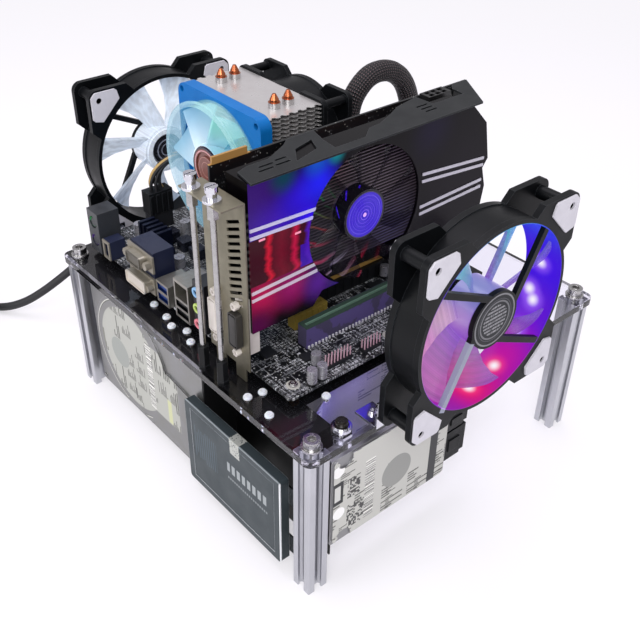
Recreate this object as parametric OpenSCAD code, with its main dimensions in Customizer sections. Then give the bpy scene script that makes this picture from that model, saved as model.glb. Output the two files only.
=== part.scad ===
// Open air test bench: a clear deck on four slotted aluminium legs that carries a
// computer laid out in the open, with its drives and power supply below the deck.
// Origin: on the table, in the middle of the four legs. X runs along the front edge,
// Y runs to the rear edge, Z points up.

/* [Deck] */
// Width of the deck along its front edge
deck_w = 259; // [250:1:275]
// Depth of the deck, front to rear
deck_d = 285; // [278:1:300]
// Thickness of the acrylic sheet
deck_t = 5; // [4:0.5:6]
// Radius of the deck's corners
deck_corner_r = 6; // [3:0.5:10]

/* [Legs] */
// Side of the slotted leg extrusion
leg_w = 15; // [14:0.5:16]
// Height of a leg
leg_h = 110; // [109:1:120]
// How far the deck reaches past a leg's outer face
leg_inset = 2.5; // [1:0.5:4]
// Width of a slot's mouth
slot_mouth = 5.6; // [4:0.2:6]
// Width of the slot behind its lips
slot_wide = 8.4; // [7:0.2:9]
// Thickness of a slot's lips
slot_lip = 1.4; // [1:0.1:2]
// Depth of a slot
slot_deep = 4; // [3.5:0.1:4.2]
// Bore down the middle of a leg, tapped for the deck bolt
leg_bore_d = 3.3; // [3:0.1:4]

/* [Motherboard] */
// Depth of the board, away from its connector edge
board_w = 185; // [180:1:195]
// Length of the connector edge
board_d = 236; // [234:1:240]
// Thickness of the board
board_t = 1.6; // [1.4:0.1:2]
// Height of the standoffs under the board
standoff_h = 6; // [5:0.5:8]
// Distance of the connector edge from the deck's left edge
board_from_left = 20.5; // [19:0.5:22]
// Distance of the board from the deck's front edge
board_from_front = 41.5; // [41:0.5:44]

/* [Case fans] */
// Width of a case fan
fan_w = 120; // [116:1:121]
// Thickness of a case fan
fan_t = 25; // [22:0.5:26]
// Distance of a case fan's screw holes from its sides
fan_hole_inset = 7.5; // [7:0.25:9]
// Diameter of the screw holes
fan_hole_d = 4.3; // [4:0.1:4.6]
// Number of blades
fan_blades = 7; // [5:1:9]
// Diameter of the hub
fan_hub_d = 36; // [34:1:42]

/* [Cooler] */
// Length of a cooling fin
fin_l = 88; // [84:1:90]
// Width of a cooling fin
fin_w = 42; // [40:1:44]
// Thickness of a cooling fin
fin_t = 0.5; // [0.4:0.05:0.6]
// Distance from one fin to the next
fin_pitch = 2.8; // [2.4:0.1:3.2]
// Number of cooling fins
fin_count = 32; // [26:1:32]
// Diameter of a heat pipe
pipe_d = 6; // [5:0.5:6]
// Width of the two cooler fans
cfan_w = 92; // [88:1:92]

/* [Graphics card] */
// Length of the card's board
card_l = 208; // [200:1:212]
// Height of the card's board above its socket
card_h = 120; // [114:1:122]
// Depth of the card from its board to its front
card_d = 33; // [32:0.5:36]
// Diameter of the card's fan opening
card_fan_d = 90; // [84:1:92]

/* [Power supply] */
// Width of the power supply
psu_w = 150; // [145:1:152]
// Depth of the power supply
psu_d = 140; // [136:1:142]
// Height of the power supply
psu_h = 86; // [84:1:88]

/* [Drives] */
// Length of a large drive
drive_l = 147; // [145:1:148]
// Width of a large drive
drive_w = 101.6; // [100:0.2:102]
// Thickness of a large drive
drive_t = 26; // [24:0.5:27]
// Length of a small drive
small_l = 100; // [99:0.5:101]
// Width of a small drive
small_w = 69.85; // [69:0.05:71]
// Thickness of the small drive at the front
small_t = 9.5; // [9:0.5:9.5]
// Thickness of the solid-state drive at the left
ssd_t = 7; // [6:0.5:7]

/* [Push button] */
// Diameter of a button's cap
cap_d = 7.6; // [6:0.2:8]
// Travel of a button's cap
cap_travel = 1.5; // [1:0.1:2]
// Diameter of a button's bezel
bezel_d = 12.5; // [12:0.5:14]

/* [Hidden] */
$fn = 48;

// A cut runs past the solid it goes through by this much
over = 1;
// Play between pieces that are fitted together
fit = 0.1;
// Running gap round parts that turn or slide
run = 0.4;

// Places on the deck
deck_z = leg_h + deck_t;
deck_x = deck_w / 2;
deck_y = deck_d / 2;
leg_x = deck_x - leg_inset - leg_w / 2;
leg_y = deck_y - leg_inset - leg_w / 2;
LEG_SIGNS = [[-1, -1], [1, -1], [-1, 1], [1, 1]];

// Leg bolts: socket head screws on washers
bolt_d = 6;
bolt_clear_d = 6.4;
bolt_head_d = 10;
bolt_head_h = 5;
bolt_socket_d = 5.8;
bolt_socket_deep = 3;
bolt_reach = 20;
washer_d = 12.5;
washer_t = 1.5;

// The board and what stands on it
board_x0 = -deck_x + board_from_left;
board_y0 = -deck_y + board_from_front;
board_x1 = board_x0 + board_w;
board_y1 = board_y0 + board_d;
board_z = deck_z + standoff_h + board_t;
board_corner_r = 3;
board_hole_d = 4;
hole_edge = 10;
post_af = 6.4;
screw_grip = 4;
screw_d = 3;
screw_head_d = 5.6;
screw_head_h = 2;
slot_pitch = 20.32;
card_slot_from_front = 69;
card_slot_y = board_y0 + card_slot_from_front;
board_hole_y_shares = [0.042, 0.326, 0.975];
board_hole_x = [board_x0 + hole_edge, board_x0 + board_w * 0.48, board_x1 - hole_edge];

// Small shapes

module up(h) {
  translate([0, 0, h]) children();
}

module round_square(w, d, r) {
  translate([-w / 2 + r, -d / 2]) square([w - 2 * r, d]);
  translate([-w / 2, -d / 2 + r]) square([w, d - 2 * r]);
  for (sx = [-1, 1], sy = [-1, 1])
    translate([sx * (w / 2 - r), sy * (d / 2 - r)]) circle(r = r, $fn = 32);
}

module round_block(w, d, h, r) {
  linear_extrude(h) round_square(w, d, r);
}

module block(w, d, h) {
  translate([-w / 2, -d / 2, 0]) cube([w, d, h]);
}

// Turns a shape that was built along Z to lie along Y, its base at the front
module along_y() {
  rotate([-90, 0, 0]) mirror([0, 1, 0]) children();
}

// Turns a shape that was built along Z to lie along X, its base at the left
module along_x() {
  rotate([90, 0, 90]) children();
}

module hex_prism(af, h) {
  cylinder(d = af / cos(30), h = h, $fn = 6);
}

// A hole right through a sheet of thickness t that lies on zero
module through(d, t) {
  up(-over) cylinder(d = d, h = t + 2 * over);
}

module button_head(d, h) {
  difference() {
    union() {
      cylinder(d = d, h = h * 0.5);
      up(h * 0.5) cylinder(d = d * 0.76, h = h * 0.5);
    }
    up(h * 0.5) hex_prism(d * 0.36, h);
  }
}

// Deck

pass_w = 24;
pass_l = 34;
pass_inset = 17.5;
pass_back = 28;
pass_x = deck_x - pass_inset;
button_from_left = 33.5;
button_from_front = 11.5;
button_x = -deck_x + button_from_left;
button_y = -deck_y + button_from_front;
button_body_d = 9.6;
deck_screw_d = 3.4;
// Places of the screws along the left edge and by the board, as shares of the deck
DECK_SCREW_SHARES = [
  [0.066, 0.647], [0.06, 0.584], [0.048, 0.546], [0.066, 0.507], [0.048, 0.467], [0.031, 0.233],
  [0.031, 0.16], [0.068, 0.226], [0.172, 0.132], [0.243, 0.23], [0.539, 0.23]
];

module at_deck_screws() {
  for (p = DECK_SCREW_SHARES) translate([-deck_x + deck_w * p[0], -deck_y + deck_d * p[1], 0]) children();
}

module at_standoffs() {
  for (x = board_hole_x, s = board_hole_y_shares)
    translate([x, board_y0 + board_d * s, 0]) children();
}

module at_legs() {
  for (s = LEG_SIGNS) translate([s[0] * leg_x, s[1] * leg_y, 0]) children();
}

module deck() color("lightcyan", 0.4) up(leg_h) difference() {
  round_block(deck_w, deck_d, deck_t, deck_corner_r);
  at_legs() through(bolt_clear_d, deck_t);
  at_standoffs() through(deck_screw_d, deck_t);
  at_deck_screws() through(deck_screw_d, deck_t);
  at_bracket_screws() through(deck_screw_d, deck_t);
  at_psu_screws() through(deck_screw_d, deck_t);
  translate([button_x, button_y, 0]) through(button_body_d + 2 * fit, deck_t);
  translate([pass_x, pass_back, -over])
    round_block(pass_w, pass_l, deck_t + 2 * over, pass_w * 0.4);
}

// Legs

module leg_profile() {
  difference() {
    round_square(leg_w, leg_w, slot_lip * 0.5);
    circle(d = leg_bore_d);
    for (a = [0 : 90 : 270]) rotate(a) {
      translate([leg_w / 2 - slot_deep, -slot_mouth / 2])
        square([slot_deep + over, slot_mouth]);
      polygon([
        [leg_w / 2 - slot_lip, -slot_wide / 2], [leg_w / 2 - slot_lip, slot_wide / 2],
        [leg_w / 2 - slot_lip * 1.6, slot_wide / 2], [leg_w / 2 - slot_deep, slot_mouth / 2],
        [leg_w / 2 - slot_deep, -slot_mouth / 2], [leg_w / 2 - slot_lip * 1.6, -slot_wide / 2]
      ]);
    }
  }
}

// The upper end is tapped wider for the deck bolt
module leg(s) {
  color("silver") translate([s[0] * leg_x, s[1] * leg_y, 0]) difference() {
    linear_extrude(leg_h) leg_profile();
    up(leg_h - bolt_reach) cylinder(d = bolt_d, h = bolt_reach + over);
  }
}

module leg_bolts() color("gainsboro") at_legs() up(deck_z) {
  difference() {
    cylinder(d = washer_d, h = washer_t);
    through(bolt_clear_d, washer_t);
  }
  difference() {
    union() {
      up(-bolt_reach - deck_t + over)
        cylinder(d = bolt_d, h = bolt_reach + deck_t + washer_t);
      up(washer_t) cylinder(d = bolt_head_d, h = bolt_head_h);
    }
    up(washer_t + bolt_head_h - bolt_socket_deep)
      hex_prism(bolt_socket_d * cos(30), bolt_head_h);
  }
}

// Fasteners of the board and of the deck

module standoffs() color("goldenrod") at_standoffs() {
  up(deck_z) difference() {
    hex_prism(post_af, standoff_h);
    up(standoff_h - screw_grip) cylinder(d = screw_d, h = screw_grip + over);
  }
  up(leg_h) cylinder(d = screw_d, h = deck_t);
}

module board_screws() color("silver") at_standoffs() {
  up(board_z) button_head(screw_head_d, screw_head_h);
  up(board_z - board_t - screw_grip) cylinder(d = screw_d, h = board_t + screw_grip);
}

module deck_screws() color("whitesmoke") at_deck_screws() {
  up(deck_z) button_head(screw_head_d, screw_head_h);
  up(leg_h) cylinder(d = screw_d, h = deck_t);
}

// Push button

button_thread = 12;
bezel_h = 2;
button_nut_af = 11.5;
button_nut_h = 2.2;
cap_proud = 3.2;
cap_deep = 5;
button_floor = 1.5;

module power_button_body() color("silver") translate([button_x, button_y, deck_z]) difference() {
  union() {
    up(-button_thread) cylinder(d = button_body_d, h = button_thread);
    cylinder(d = bezel_d, h = bezel_h);
    up(bezel_h) cylinder(d = bezel_d * 0.86, h = bezel_h * 0.5);
    up(-deck_t - button_nut_h) hex_prism(button_nut_af, button_nut_h);
  }
  up(bezel_h * 1.5 - cap_deep - cap_travel - button_floor)
    cylinder(d = cap_d + 2 * run, h = button_thread + over);
}

module power_button_cap() color("gainsboro") translate([button_x, button_y, deck_z + bezel_h * 1.5]) {
  up(-cap_deep) cylinder(d = cap_d, h = cap_deep + cap_proud * 0.75);
  up(cap_proud * 0.75) cylinder(d = cap_d * 0.8, h = cap_proud * 0.25);
}

// Motherboard

module motherboard() color("black") difference() {
  translate([board_x0 + board_w / 2, board_y0 + board_d / 2, board_z - board_t])
    round_block(board_w, board_d, board_t, board_corner_r);
  at_standoffs() up(board_z - board_t) through(board_hole_d, board_t);
}

// Connectors along the left edge, given by their distance from the board's front edge
port_proud = 3.5;
port_x = board_x0 - port_proud;
ps2_from_front = 211.5;
ps2_w = 15;
ps2_h = 32;
ps2_d = 17;
ps2_wall = 0.6;

module ps2_port() color("dimgray") translate([port_x, board_y0 + ps2_from_front, board_z]) difference() {
  cube([ps2_d, ps2_w, ps2_h]);
  for (z = [0.27, 0.73]) translate([-over, ps2_w / 2, ps2_h * z]) along_x() difference() {
    cylinder(d = ps2_w * 0.62, h = over + ps2_d * 0.6);
    up(over + ps2_wall) cylinder(d = ps2_w * 0.46, h = ps2_d);
  }
}

dsub_w = 31;
dsub_t = 10.8;
dsub_lift = 0.8;
dsub_flange_t = 2;
dsub_collar = 6;
dsub_wall = 0.8;
dsub_r = 2;
dsub_screw_af = 5;
dsub_screw_out = 4.5;
dsub_low_z = 2;
dsub_high_z = 19;
dsub_low_w = 24;
dsub_low_h = 9.4;
dsub_high_w = 17;
dsub_high_h = 8.6;
dsub_block_d = 16;
dsub_block_h = 33;
video_proud = 10;
video_from_front = 154;
hdmi_from_front = 199.5;
hdmi_d = 13;
hdmi_w = 9;
hdmi_h = 14.5;
hdmi_wall = 2;
hdmi_tongue_t = 1.6;

// One of the two stacked video sockets: a flange, a collar and two jack screws
module dsub(z, collar_w, collar_h) {
  up(z) {
    translate([dsub_collar, -dsub_w / 2, 0]) cube([dsub_flange_t, dsub_w, dsub_t + 2 * dsub_lift]);
    up(dsub_t / 2 + dsub_lift) difference() {
      along_x() round_block(collar_w, collar_h, dsub_collar + dsub_wall, dsub_r);
      translate([-over, 0, 0]) along_x()
        round_block(collar_w - 2 * dsub_wall, collar_h - 2 * dsub_wall, over + dsub_wall, dsub_r - dsub_wall);
    }
    for (s = [-1, 1]) translate([dsub_collar - dsub_screw_out, s * dsub_w * 0.4, dsub_t / 2 + dsub_lift])
      along_x() hex_prism(dsub_screw_af, dsub_screw_out + fit);
  }
}

module video_ports() color("silver") {
  translate([board_x0 - video_proud, board_y0 + video_from_front, board_z]) {
    dsub(dsub_low_z, dsub_low_w, dsub_low_h);
    dsub(dsub_high_z, dsub_high_w, dsub_high_h);
    translate([dsub_collar + dsub_flange_t, -dsub_w / 2 + dsub_flange_t, 0])
      cube([dsub_block_d, dsub_w - 2 * dsub_flange_t, dsub_block_h]);
  }
  translate([port_x, board_y0 + hdmi_from_front, board_z]) {
    difference() {
      cube([hdmi_d, hdmi_w, hdmi_h]);
      translate([-over, hdmi_wall, hdmi_wall]) cube([hdmi_d * 0.7, hdmi_w - 2 * hdmi_wall, hdmi_h - 2 * hdmi_wall]);
    }
    translate([hdmi_tongue_t, (hdmi_w - hdmi_tongue_t) / 2, hdmi_wall * 1.6])
      cube([hdmi_d * 0.6, hdmi_tongue_t, hdmi_h - hdmi_wall * 3.2]);
  }
}

lan_from_front = 98;
lan_w = 16.4;
lan_h = 29;
usb_from_front = 122.5;
usb_w = 14.4;
usb_h = 16.5;
port_d = 20;
port_wall = 1.3;
tongue_t = 2;

// Two flat sockets over one another in a port, each with its tongue
module usb_pair(w, h, shares, high_share) {
  difference() {
    cube([port_d, w, h]);
    for (s = shares) translate([-over, port_wall, h * s])
      cube([port_d * 0.7, w - 2 * port_wall, h * high_share]);
    children();
  }
  for (s = shares) translate([tongue_t / 2, 2 * port_wall, h * (s + high_share * 0.38)])
    cube([port_d * 0.7, w - 4 * port_wall, h * high_share * 0.4]);
}

module usb_lan_ports() color("silver") {
  translate([port_x, board_y0 + lan_from_front, board_z])
    usb_pair(lan_w, lan_h, [0.06, 0.29], 0.17)
      translate([-over, port_wall, lan_h * 0.52])
        cube([port_d * 0.7, lan_w - 2 * port_wall, lan_h * 0.4]);
  translate([port_x, board_y0 + usb_from_front, board_z]) usb_pair(usb_w, usb_h, [0.12, 0.58], 0.32);
}

audio_from_front = 89.5;
audio_w = 12.5;
audio_h = 36;
audio_d = 12;
jack_d = 6.8;
jack_bore_d = 3.6;
jack_proud = 2.5;

module at_jacks() {
  for (i = [0 : 2])
    translate([port_x, board_y0 + audio_from_front, board_z + audio_h * (0.17 + 0.33 * i)])
      along_x() children();
}

module audio_jacks() color("black") difference() {
  union() {
    translate([port_x + jack_proud, board_y0 + audio_from_front - audio_w / 2, board_z]) cube([audio_d, audio_w, audio_h]);
    at_jacks() cylinder(d = jack_d, h = jack_proud + fit);
  }
  at_jacks() up(-over) cylinder(d = jack_bore_d, h = audio_d);
}

// Expansion and memory sockets
card_slot_from_left = 52;
card_slot_x = board_x0 + card_slot_from_left;
card_slot_l = 89;
card_slot_w = 7.5;
card_slot_h = 11.2;
card_slot_wall = 2;
rib_count = 12;
rib_w = 2.4;
rib_t = 0.5;
card_t = 1.6;
card_seat = 3;
short_slot_l = 27;
short_slot_back = 14;
old_slot_l = 85;
old_slot_w = 8.6;
old_slot_h = 15.4;
old_slot_back = 33.2;
old_slot_left = 13.5;
old_slot_wall = 3;
old_slot_gap = 1.8;
old_slot_floor = 4;
pin_count = 30;
pin_w = 1.2;
pin_out = 0.8;
pin_h = 2;
mem_slot_l = 142;
mem_slot_w = 6.5;
mem_slot_h = 11;
mem_latch_l = 7;
mem_from_right = 37;
mem_pitch = 9.5;
mem_from_slot = 84;
mem_x = [board_x1 - mem_from_right, board_x1 - mem_from_right + mem_pitch];
mem_y = card_slot_y + mem_from_slot;
mem_t = 1.3;
mem_l = 133.4;
mem_h = 30;
mem_seat = 2.5;
mem_chips = 8;
mem_chip_t = 1.1;

// A ribbed socket for a card, open at the top
module edge_slot(l, ribs) {
  difference() {
    translate([0, -card_slot_w / 2, 0]) cube([l, card_slot_w, card_slot_h]);
    translate([card_slot_wall, -card_t / 2 - fit, card_seat])
      cube([l - 2 * card_slot_wall, card_t + 2 * fit, card_slot_h]);
  }
  for (n = [0 : ribs - 1]) translate([l * (n + 0.5) / ribs - rib_w / 2, -card_slot_w / 2 - rib_t, rib_w / 2])
    cube([rib_w, rib_t, card_slot_h - rib_w]);
}

module memory_slot() {
  difference() {
    union() {
      block(mem_slot_w, mem_slot_l, mem_slot_h * 0.7);
      for (s = [-1, 1]) translate([0, s * (mem_slot_l - mem_latch_l) / 2, 0])
        block(mem_slot_w, mem_latch_l, mem_slot_h * 1.7);
    }
    up(mem_seat) block(mem_t + 2 * fit, mem_l + 2 * fit, mem_slot_h * 2);
  }
}

module board_slots() color("khaki") translate([card_slot_x, card_slot_y, board_z]) {
  edge_slot(card_slot_l, rib_count);
  translate([-old_slot_left / 2, -short_slot_back, 0]) edge_slot(short_slot_l, rib_count / 2);
  translate([-old_slot_left, -old_slot_back, 0]) {
    difference() {
      translate([0, -old_slot_w / 2, 0]) cube([old_slot_l, old_slot_w, old_slot_h]);
      translate([old_slot_wall, -old_slot_gap / 2, old_slot_floor])
        cube([old_slot_l - 2 * old_slot_wall, old_slot_gap, old_slot_h]);
    }
    for (n = [0 : pin_count - 1]) translate([old_slot_l * (n + 0.5) / pin_count - pin_w / 2, -old_slot_w / 2 - pin_out, 0])
      cube([pin_w, pin_out, pin_h]);
  }
  for (x = mem_x) translate([x - card_slot_x, mem_from_slot, 0]) memory_slot();
}

module memory_module() color("darkgreen") translate([mem_x[0], mem_y, board_z + mem_seat]) {
  block(mem_t, mem_l, mem_h);
  for (n = [0 : mem_chips - 1]) translate([mem_t / 2, mem_l * 0.94 * ((n + 0.5) / mem_chips - 0.5 - 0.36 / mem_chips), mem_h * 0.47])
    cube([mem_chip_t, mem_l * 0.72 / mem_chips, mem_h * 0.34]);
}

// Power sockets, drive sockets, pin rows and the processor's socket
atx_from_right = 12;
atx_from_front = 129;
atx_x = board_x1 - atx_from_right;
atx_y = board_y0 + atx_from_front;
atx_l = 51.6;
atx_w = 9.6;
atx_h = 13;
atx_plug_h = 14;
cpu_plug_from_left = 52;
cpu_plug_from_back = 14;
cpu_plug_x = board_x0 + cpu_plug_from_left;
cpu_plug_y = board_y1 - cpu_plug_from_back;
cpu_plug_w = 20;
cpu_plug_l = 11;
cpu_plug_h = 18;
cooler_from_left = 92;
cooler_from_front = 151;
cooler_x = board_x0 + cooler_from_left;
cooler_y = board_y0 + cooler_from_front;
cpu_w = 37.5;
cpu_h = 7.2;
cpu_frame_w = 20;
cpu_frame_l = 14;
data_from_right = 8;
data_from_front = 20.5;
data_pitch = 15.3;
data_count = 4;
data_w = 8;
data_l = 14;
data_h = 8.5;
header_pitch = 2.54;
header_pin_w = 0.64;
header_pin_h = 8.5;
// Rows of pins: place as shares of the board, then how many pins each way
HEADER_SHARES = [[0.195, 0.036, 8, 2], [0.346, 0.027, 6, 2], [0.52, 0.022, 9, 2], [0.757, 0.025, 8, 2]];
// Flat chips: place and side as shares of the board
CHIP_SHARES = [[0.092, 0.186, 0.049], [0.178, 0.106, 0.038], [0.162, 0.356, 0.054], [0.66, 0.229, 0.065]];
chip_t = 1.2;

module pin_row(nx, ny, p) {
  translate([-p / 2, -p / 2, 0]) cube([nx * p, ny * p, p * 0.9]);
  for (i = [0 : nx - 1], j = [0 : ny - 1]) translate([i * p, j * p, 0]) block(header_pin_w, header_pin_w, header_pin_h);
}

module board_sockets() color("black") {
  translate([atx_x, atx_y, board_z]) block(atx_w, atx_l, atx_h);
  translate([cpu_plug_x, cpu_plug_y, board_z]) block(cpu_plug_w * 0.9, cpu_plug_l * 0.9, atx_h);
  for (i = [0 : data_count - 1]) translate([board_x1 - data_from_right, board_y0 + data_from_front + i * data_pitch, board_z])
    block(data_w, data_l, data_h);
  translate([cooler_x, cooler_y, board_z]) {
    difference() {
      block(cpu_w + cpu_frame_w, cpu_w + cpu_frame_l, cpu_h * 0.6);
      up(-over) block(cpu_w + fit, cpu_w + fit, cpu_h);
    }
    block(cpu_w, cpu_w, cpu_h);
  }
  for (s = HEADER_SHARES) translate([board_x0 + board_w * s[0], board_y0 + board_d * s[1], board_z])
    pin_row(s[2], s[3], header_pitch);
  for (s = CHIP_SHARES) translate([board_x0 + board_w * s[0], board_y0 + board_d * s[1], board_z])
    block(board_w * s[2], board_w * s[2], chip_t);
}

// Capacitors and chokes: place as shares of the board, and which of the sizes
CAN_SIZES = [[6.3, 11], [8, 13], [6.3, 9]];
CAN_SHARES = [
  [0.104, 0.015, 0], [0.146, 0.015, 0], [0.178, 0.068, 2], [0.141, 0.729, 1], [0.146, 0.661, 1],
  [0.162, 0.907, 1], [0.314, 0.831, 1], [0.389, 0.869, 2], [0.454, 0.869, 2], [0.681, 0.5, 1],
  [0.681, 0.551, 1], [0.724, 0.263, 2], [0.605, 0.873, 2]
];
choke_w = 10;
choke_h = 8;
choke_r = 1.5;
CHOKE_SHARES = [[0.259, 0.767], [0.254, 0.839], [0.259, 0.699], [0.541, 0.877]];

module can(d, h) {
  difference() {
    union() {
      cylinder(d = d, h = h * 0.12);
      cylinder(d = d * 0.93, h = h * 0.2);
      up(h * 0.16) cylinder(d = d, h = h * 0.84);
    }
    up(h * 0.97) for (a = [0, 90]) rotate(a) block(d * 0.7, d * 0.06, h);
  }
}

module capacitors() color("lightgray") translate([board_x0, board_y0, board_z]) {
  for (s = CAN_SHARES) translate([board_w * s[0], board_d * s[1], 0]) can(CAN_SIZES[s[2]][0], CAN_SIZES[s[2]][1]);
  for (s = CHOKE_SHARES) translate([board_w * s[0], board_d * s[1], 0]) round_block(choke_w, choke_w, choke_h, choke_r);
}

tall_sink_w = 13;
tall_sink_l = 28;
tall_sink_h = 20;
flat_sink_w = 26;
flat_sink_h = 6;

module heatsink_block(w, d, h, n) {
  block(w, d, h * 0.25);
  for (i = [0 : n - 1]) translate([0, d * ((i + 0.5) / n - 0.5), 0]) block(w, d / n * 0.45, h);
}

module board_heatsinks() color("darkslateblue") translate([board_x0, board_y0, board_z]) {
  translate([board_w * 0.168, board_d * 0.818, 0])
    heatsink_block(tall_sink_w, tall_sink_l, tall_sink_h, 5);
  translate([board_w * 0.811, board_d * 0.136, 0])
    heatsink_block(flat_sink_w, flat_sink_w, flat_sink_h, 8);
}

// Processor cooler: a base with screws, bent heat pipes and a stack of fins
base_z = board_z + cpu_h;
base_t = 9;
cooler_h = 110;
fins_top = base_z + cooler_h;
fins_z = fins_top - fin_count * fin_pitch;
pipe_x_shares = [-0.16, 0.14];
pipe_out = 29;
pipe_bend = 10;
pipe_rise = 5.5;
collar_d = 8;
wing_l = 18;
wing_w = 14;
wing_t = 2;
wing_lift = 1;
wing_screw_out = 13;
wing_screw_d = 4;
wing_head_d = 7;

function pipe_dx(i) = cpu_w * pipe_x_shares[i];
last_pipe = len(pipe_x_shares) - 1;

module cooler_base() color("silver") translate([cooler_x, cooler_y, base_z]) {
  difference() {
    block(cpu_w, cpu_w, base_t);
    for (i = [0 : last_pipe]) translate([pipe_dx(i), -cpu_w, base_t * 0.55])
      along_y() cylinder(d = pipe_d + 2 * fit, h = 2 * cpu_w);
  }
  for (s = [-1, 1]) {
    translate([s * (cpu_w + wing_l) / 2, 0, wing_lift]) block(wing_l, wing_w, wing_t);
    translate([s * (cpu_w / 2 + wing_screw_out), 0, -cpu_h]) cylinder(d = wing_screw_d, h = cpu_h + wing_lift);
    translate([s * (cpu_w / 2 + wing_screw_out), 0, wing_lift + wing_t]) button_head(wing_head_d, wing_head_d * 0.43);
  }
}

// One pipe: along the base, round two bends and up through the fins
module heat_pipe(i) {
  y = pipe_out;
  top = fins_top - base_z + pipe_rise;
  zc = base_t * 0.55;
  translate([pipe_dx(i), 0, zc]) {
    translate([0, -y + pipe_bend, 0]) along_y() cylinder(d = pipe_d, h = 2 * (y - pipe_bend));
    for (s = [0, 1]) mirror([0, s, 0]) {
      translate([0, y - pipe_bend, pipe_bend]) rotate([0, 90, 0])
        rotate_extrude(angle = 90) translate([pipe_bend, 0]) circle(d = pipe_d);
      translate([0, y, pipe_bend]) cylinder(d = pipe_d, h = top - zc - pipe_bend);
      translate([0, y, top - zc]) cylinder(d1 = pipe_d, d2 = pipe_d * 0.4, h = pipe_d * 0.6, $fn = 32);
      translate([0, y, top - zc - pipe_rise]) difference() {
        cylinder(d = collar_d, h = pipe_rise * 0.7);
        through(pipe_d, pipe_rise);
      }
    }
  }
}

module heat_pipes() color("peru") translate([cooler_x, cooler_y, base_z]) for (i = [0 : last_pipe]) heat_pipe(i);

module fin_outline() {
  difference() {
    square([fin_w, fin_l], center = true);
    for (i = [0 : last_pipe], s = [-1, 1]) translate([pipe_dx(i), s * pipe_out]) circle(d = pipe_d);
    for (n = [0 : 5], s = [-1, 1]) translate([fin_w * ((n + 0.5) / 6 - 0.5), s * fin_l / 2])
      circle(d = fin_w / 10, $fn = 16);
  }
}

module cooler_fins() color("silver") translate([cooler_x, cooler_y, fins_z]) {
  for (n = [1 : fin_count]) up(n * fin_pitch - fin_t) linear_extrude(fin_t) fin_outline();
}

// Fans

// Outline of a fan's corner ears, joined to its round duct
module fan_ears(w, duct_r) {
  intersection() {
    round_square(w, w, w * 0.055);
    union() for (a = [45, 135]) rotate(a) square([w * 1.5, w * 0.36], center = true);
  }
  circle(r = duct_r);
}

module at_fan_holes(pitch) {
  for (sx = [-1, 1], sy = [-1, 1]) translate([sx * pitch / 2, sy * pitch / 2, 0]) children();
}

// Struts leave the hub beside its middle and meet the duct
strut_turn = 64;

module fan_struts(w, hub_d, open_d, t) {
  side = hub_d * 0.32;
  from = hub_d * 0.3;
  reach = sqrt(pow(open_d / 2 + w * 0.008, 2) - pow(side, 2));
  cylinder(d = hub_d, h = t);
  for (k = [0 : 3]) rotate(strut_turn + 90 * k) translate([from, -side - w * 0.016, 0])
    cube([reach - from, w * 0.032, t]);
}

// Frame of a fan, built along Z with the struts on the face at zero
module fan_frame(w, t, pitch, hole_d, hub_d, open_d, ear_t) {
  difference() {
    union() {
      for (z = [0, t - ear_t]) up(z) linear_extrude(ear_t) fan_ears(w, open_d / 2 + w * 0.022);
      cylinder(d = open_d + w * 0.032, h = t);
      at_fan_holes(pitch) cylinder(d = w * 0.066, h = t);
    }
    through(open_d, t);
    at_fan_holes(pitch) through(hole_d, t);
  }
  fan_struts(w, hub_d, open_d, ear_t * 0.8);
}

// Outline of one blade seen along the axis: it widens and sweeps back towards its tip
function blade_edge(r0, r1, a0, a1, n) = [
  for (i = [0 : n]) let (s = i / n, r = r0 + (r1 - r0) * s, a = a0 + (a1 - a0) * pow(s, 1.4)) [r * cos(a), r * sin(a)]
];

function reversed(v) = [for (i = [len(v) - 1 : -1 : 0]) v[i]];

// A blade is a curved plate, pitched across the axis and cut to its outline
module fan_blade(r0, r1, h, thick, pitch_a) {
  mid_a = 12;
  curve_r = r1 * 0.75;
  intersection() {
    rotate(mid_a) translate([0, curve_r * sin(pitch_a), h / 2 + curve_r * cos(pitch_a)]) along_x() difference() {
      cylinder(r = curve_r + thick / 2, h = r1 * 1.1);
      up(-over) cylinder(r = curve_r - thick / 2, h = r1 * 1.1 + 2 * over);
    }
    linear_extrude(h) polygon(concat(
      blade_edge(r0 * 0.93, r1 * 1.05, -15, -6, 4), reversed(blade_edge(r0 * 0.93, r1 * 1.05, 15, 34, 4))
    ));
    cylinder(r = r1, h = h);
  }
}

// Rotor, built along Z above the struts
module fan_rotor(hub_d, tip_d, h, blades, thick) {
  difference() {
    union() {
      cylinder(d = hub_d, h = h * 0.94);
      up(h * 0.94) cylinder(d = hub_d * 0.9, h = h * 0.06);
    }
    up(h * 0.94) difference() {
      cylinder(d = hub_d * 0.7, h = h);
      up(-over) cylinder(d = hub_d * 0.55, h = h + 2 * over);
    }
  }
  for (k = [0 : blades - 1]) rotate(k * 360 / blades) fan_blade(hub_d / 2, tip_d / 2, h * 0.92, thick, 36);
}

fan_pitch = fan_w - 2 * fan_hole_inset;
fan_open_d = fan_w * 0.94;
ear_t = 4;
strut_t = ear_t * 0.8;
blade_t = 1.6;
pad_t = 1.2;
shaft_d = fan_hub_d * 0.16;
shaft_h = fan_t * 0.2;
fan_deck_gap = 4;
fan_off_middle = 22.3;
front_fan_gap = 3.5;
rear_fan_off_middle = 28.4;
rear_fan_drop = 8.5;
rear_fan_gap = 5.5;
// Front fan: its struts face forward, its frame clears the deck's edge
front_fan_x = -fan_off_middle;
front_fan_z = deck_z + fan_deck_gap + fan_w / 2;
front_fan_y = -deck_y - front_fan_gap - fan_t;
// Rear fan: its open face looks forward over the board
rear_fan_x = -rear_fan_off_middle;
rear_fan_z = deck_z - rear_fan_drop + fan_w / 2;
rear_fan_y = deck_y + rear_fan_gap;

module front_fan_place() {
  translate([front_fan_x, front_fan_y, front_fan_z]) along_y() children();
}

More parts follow.
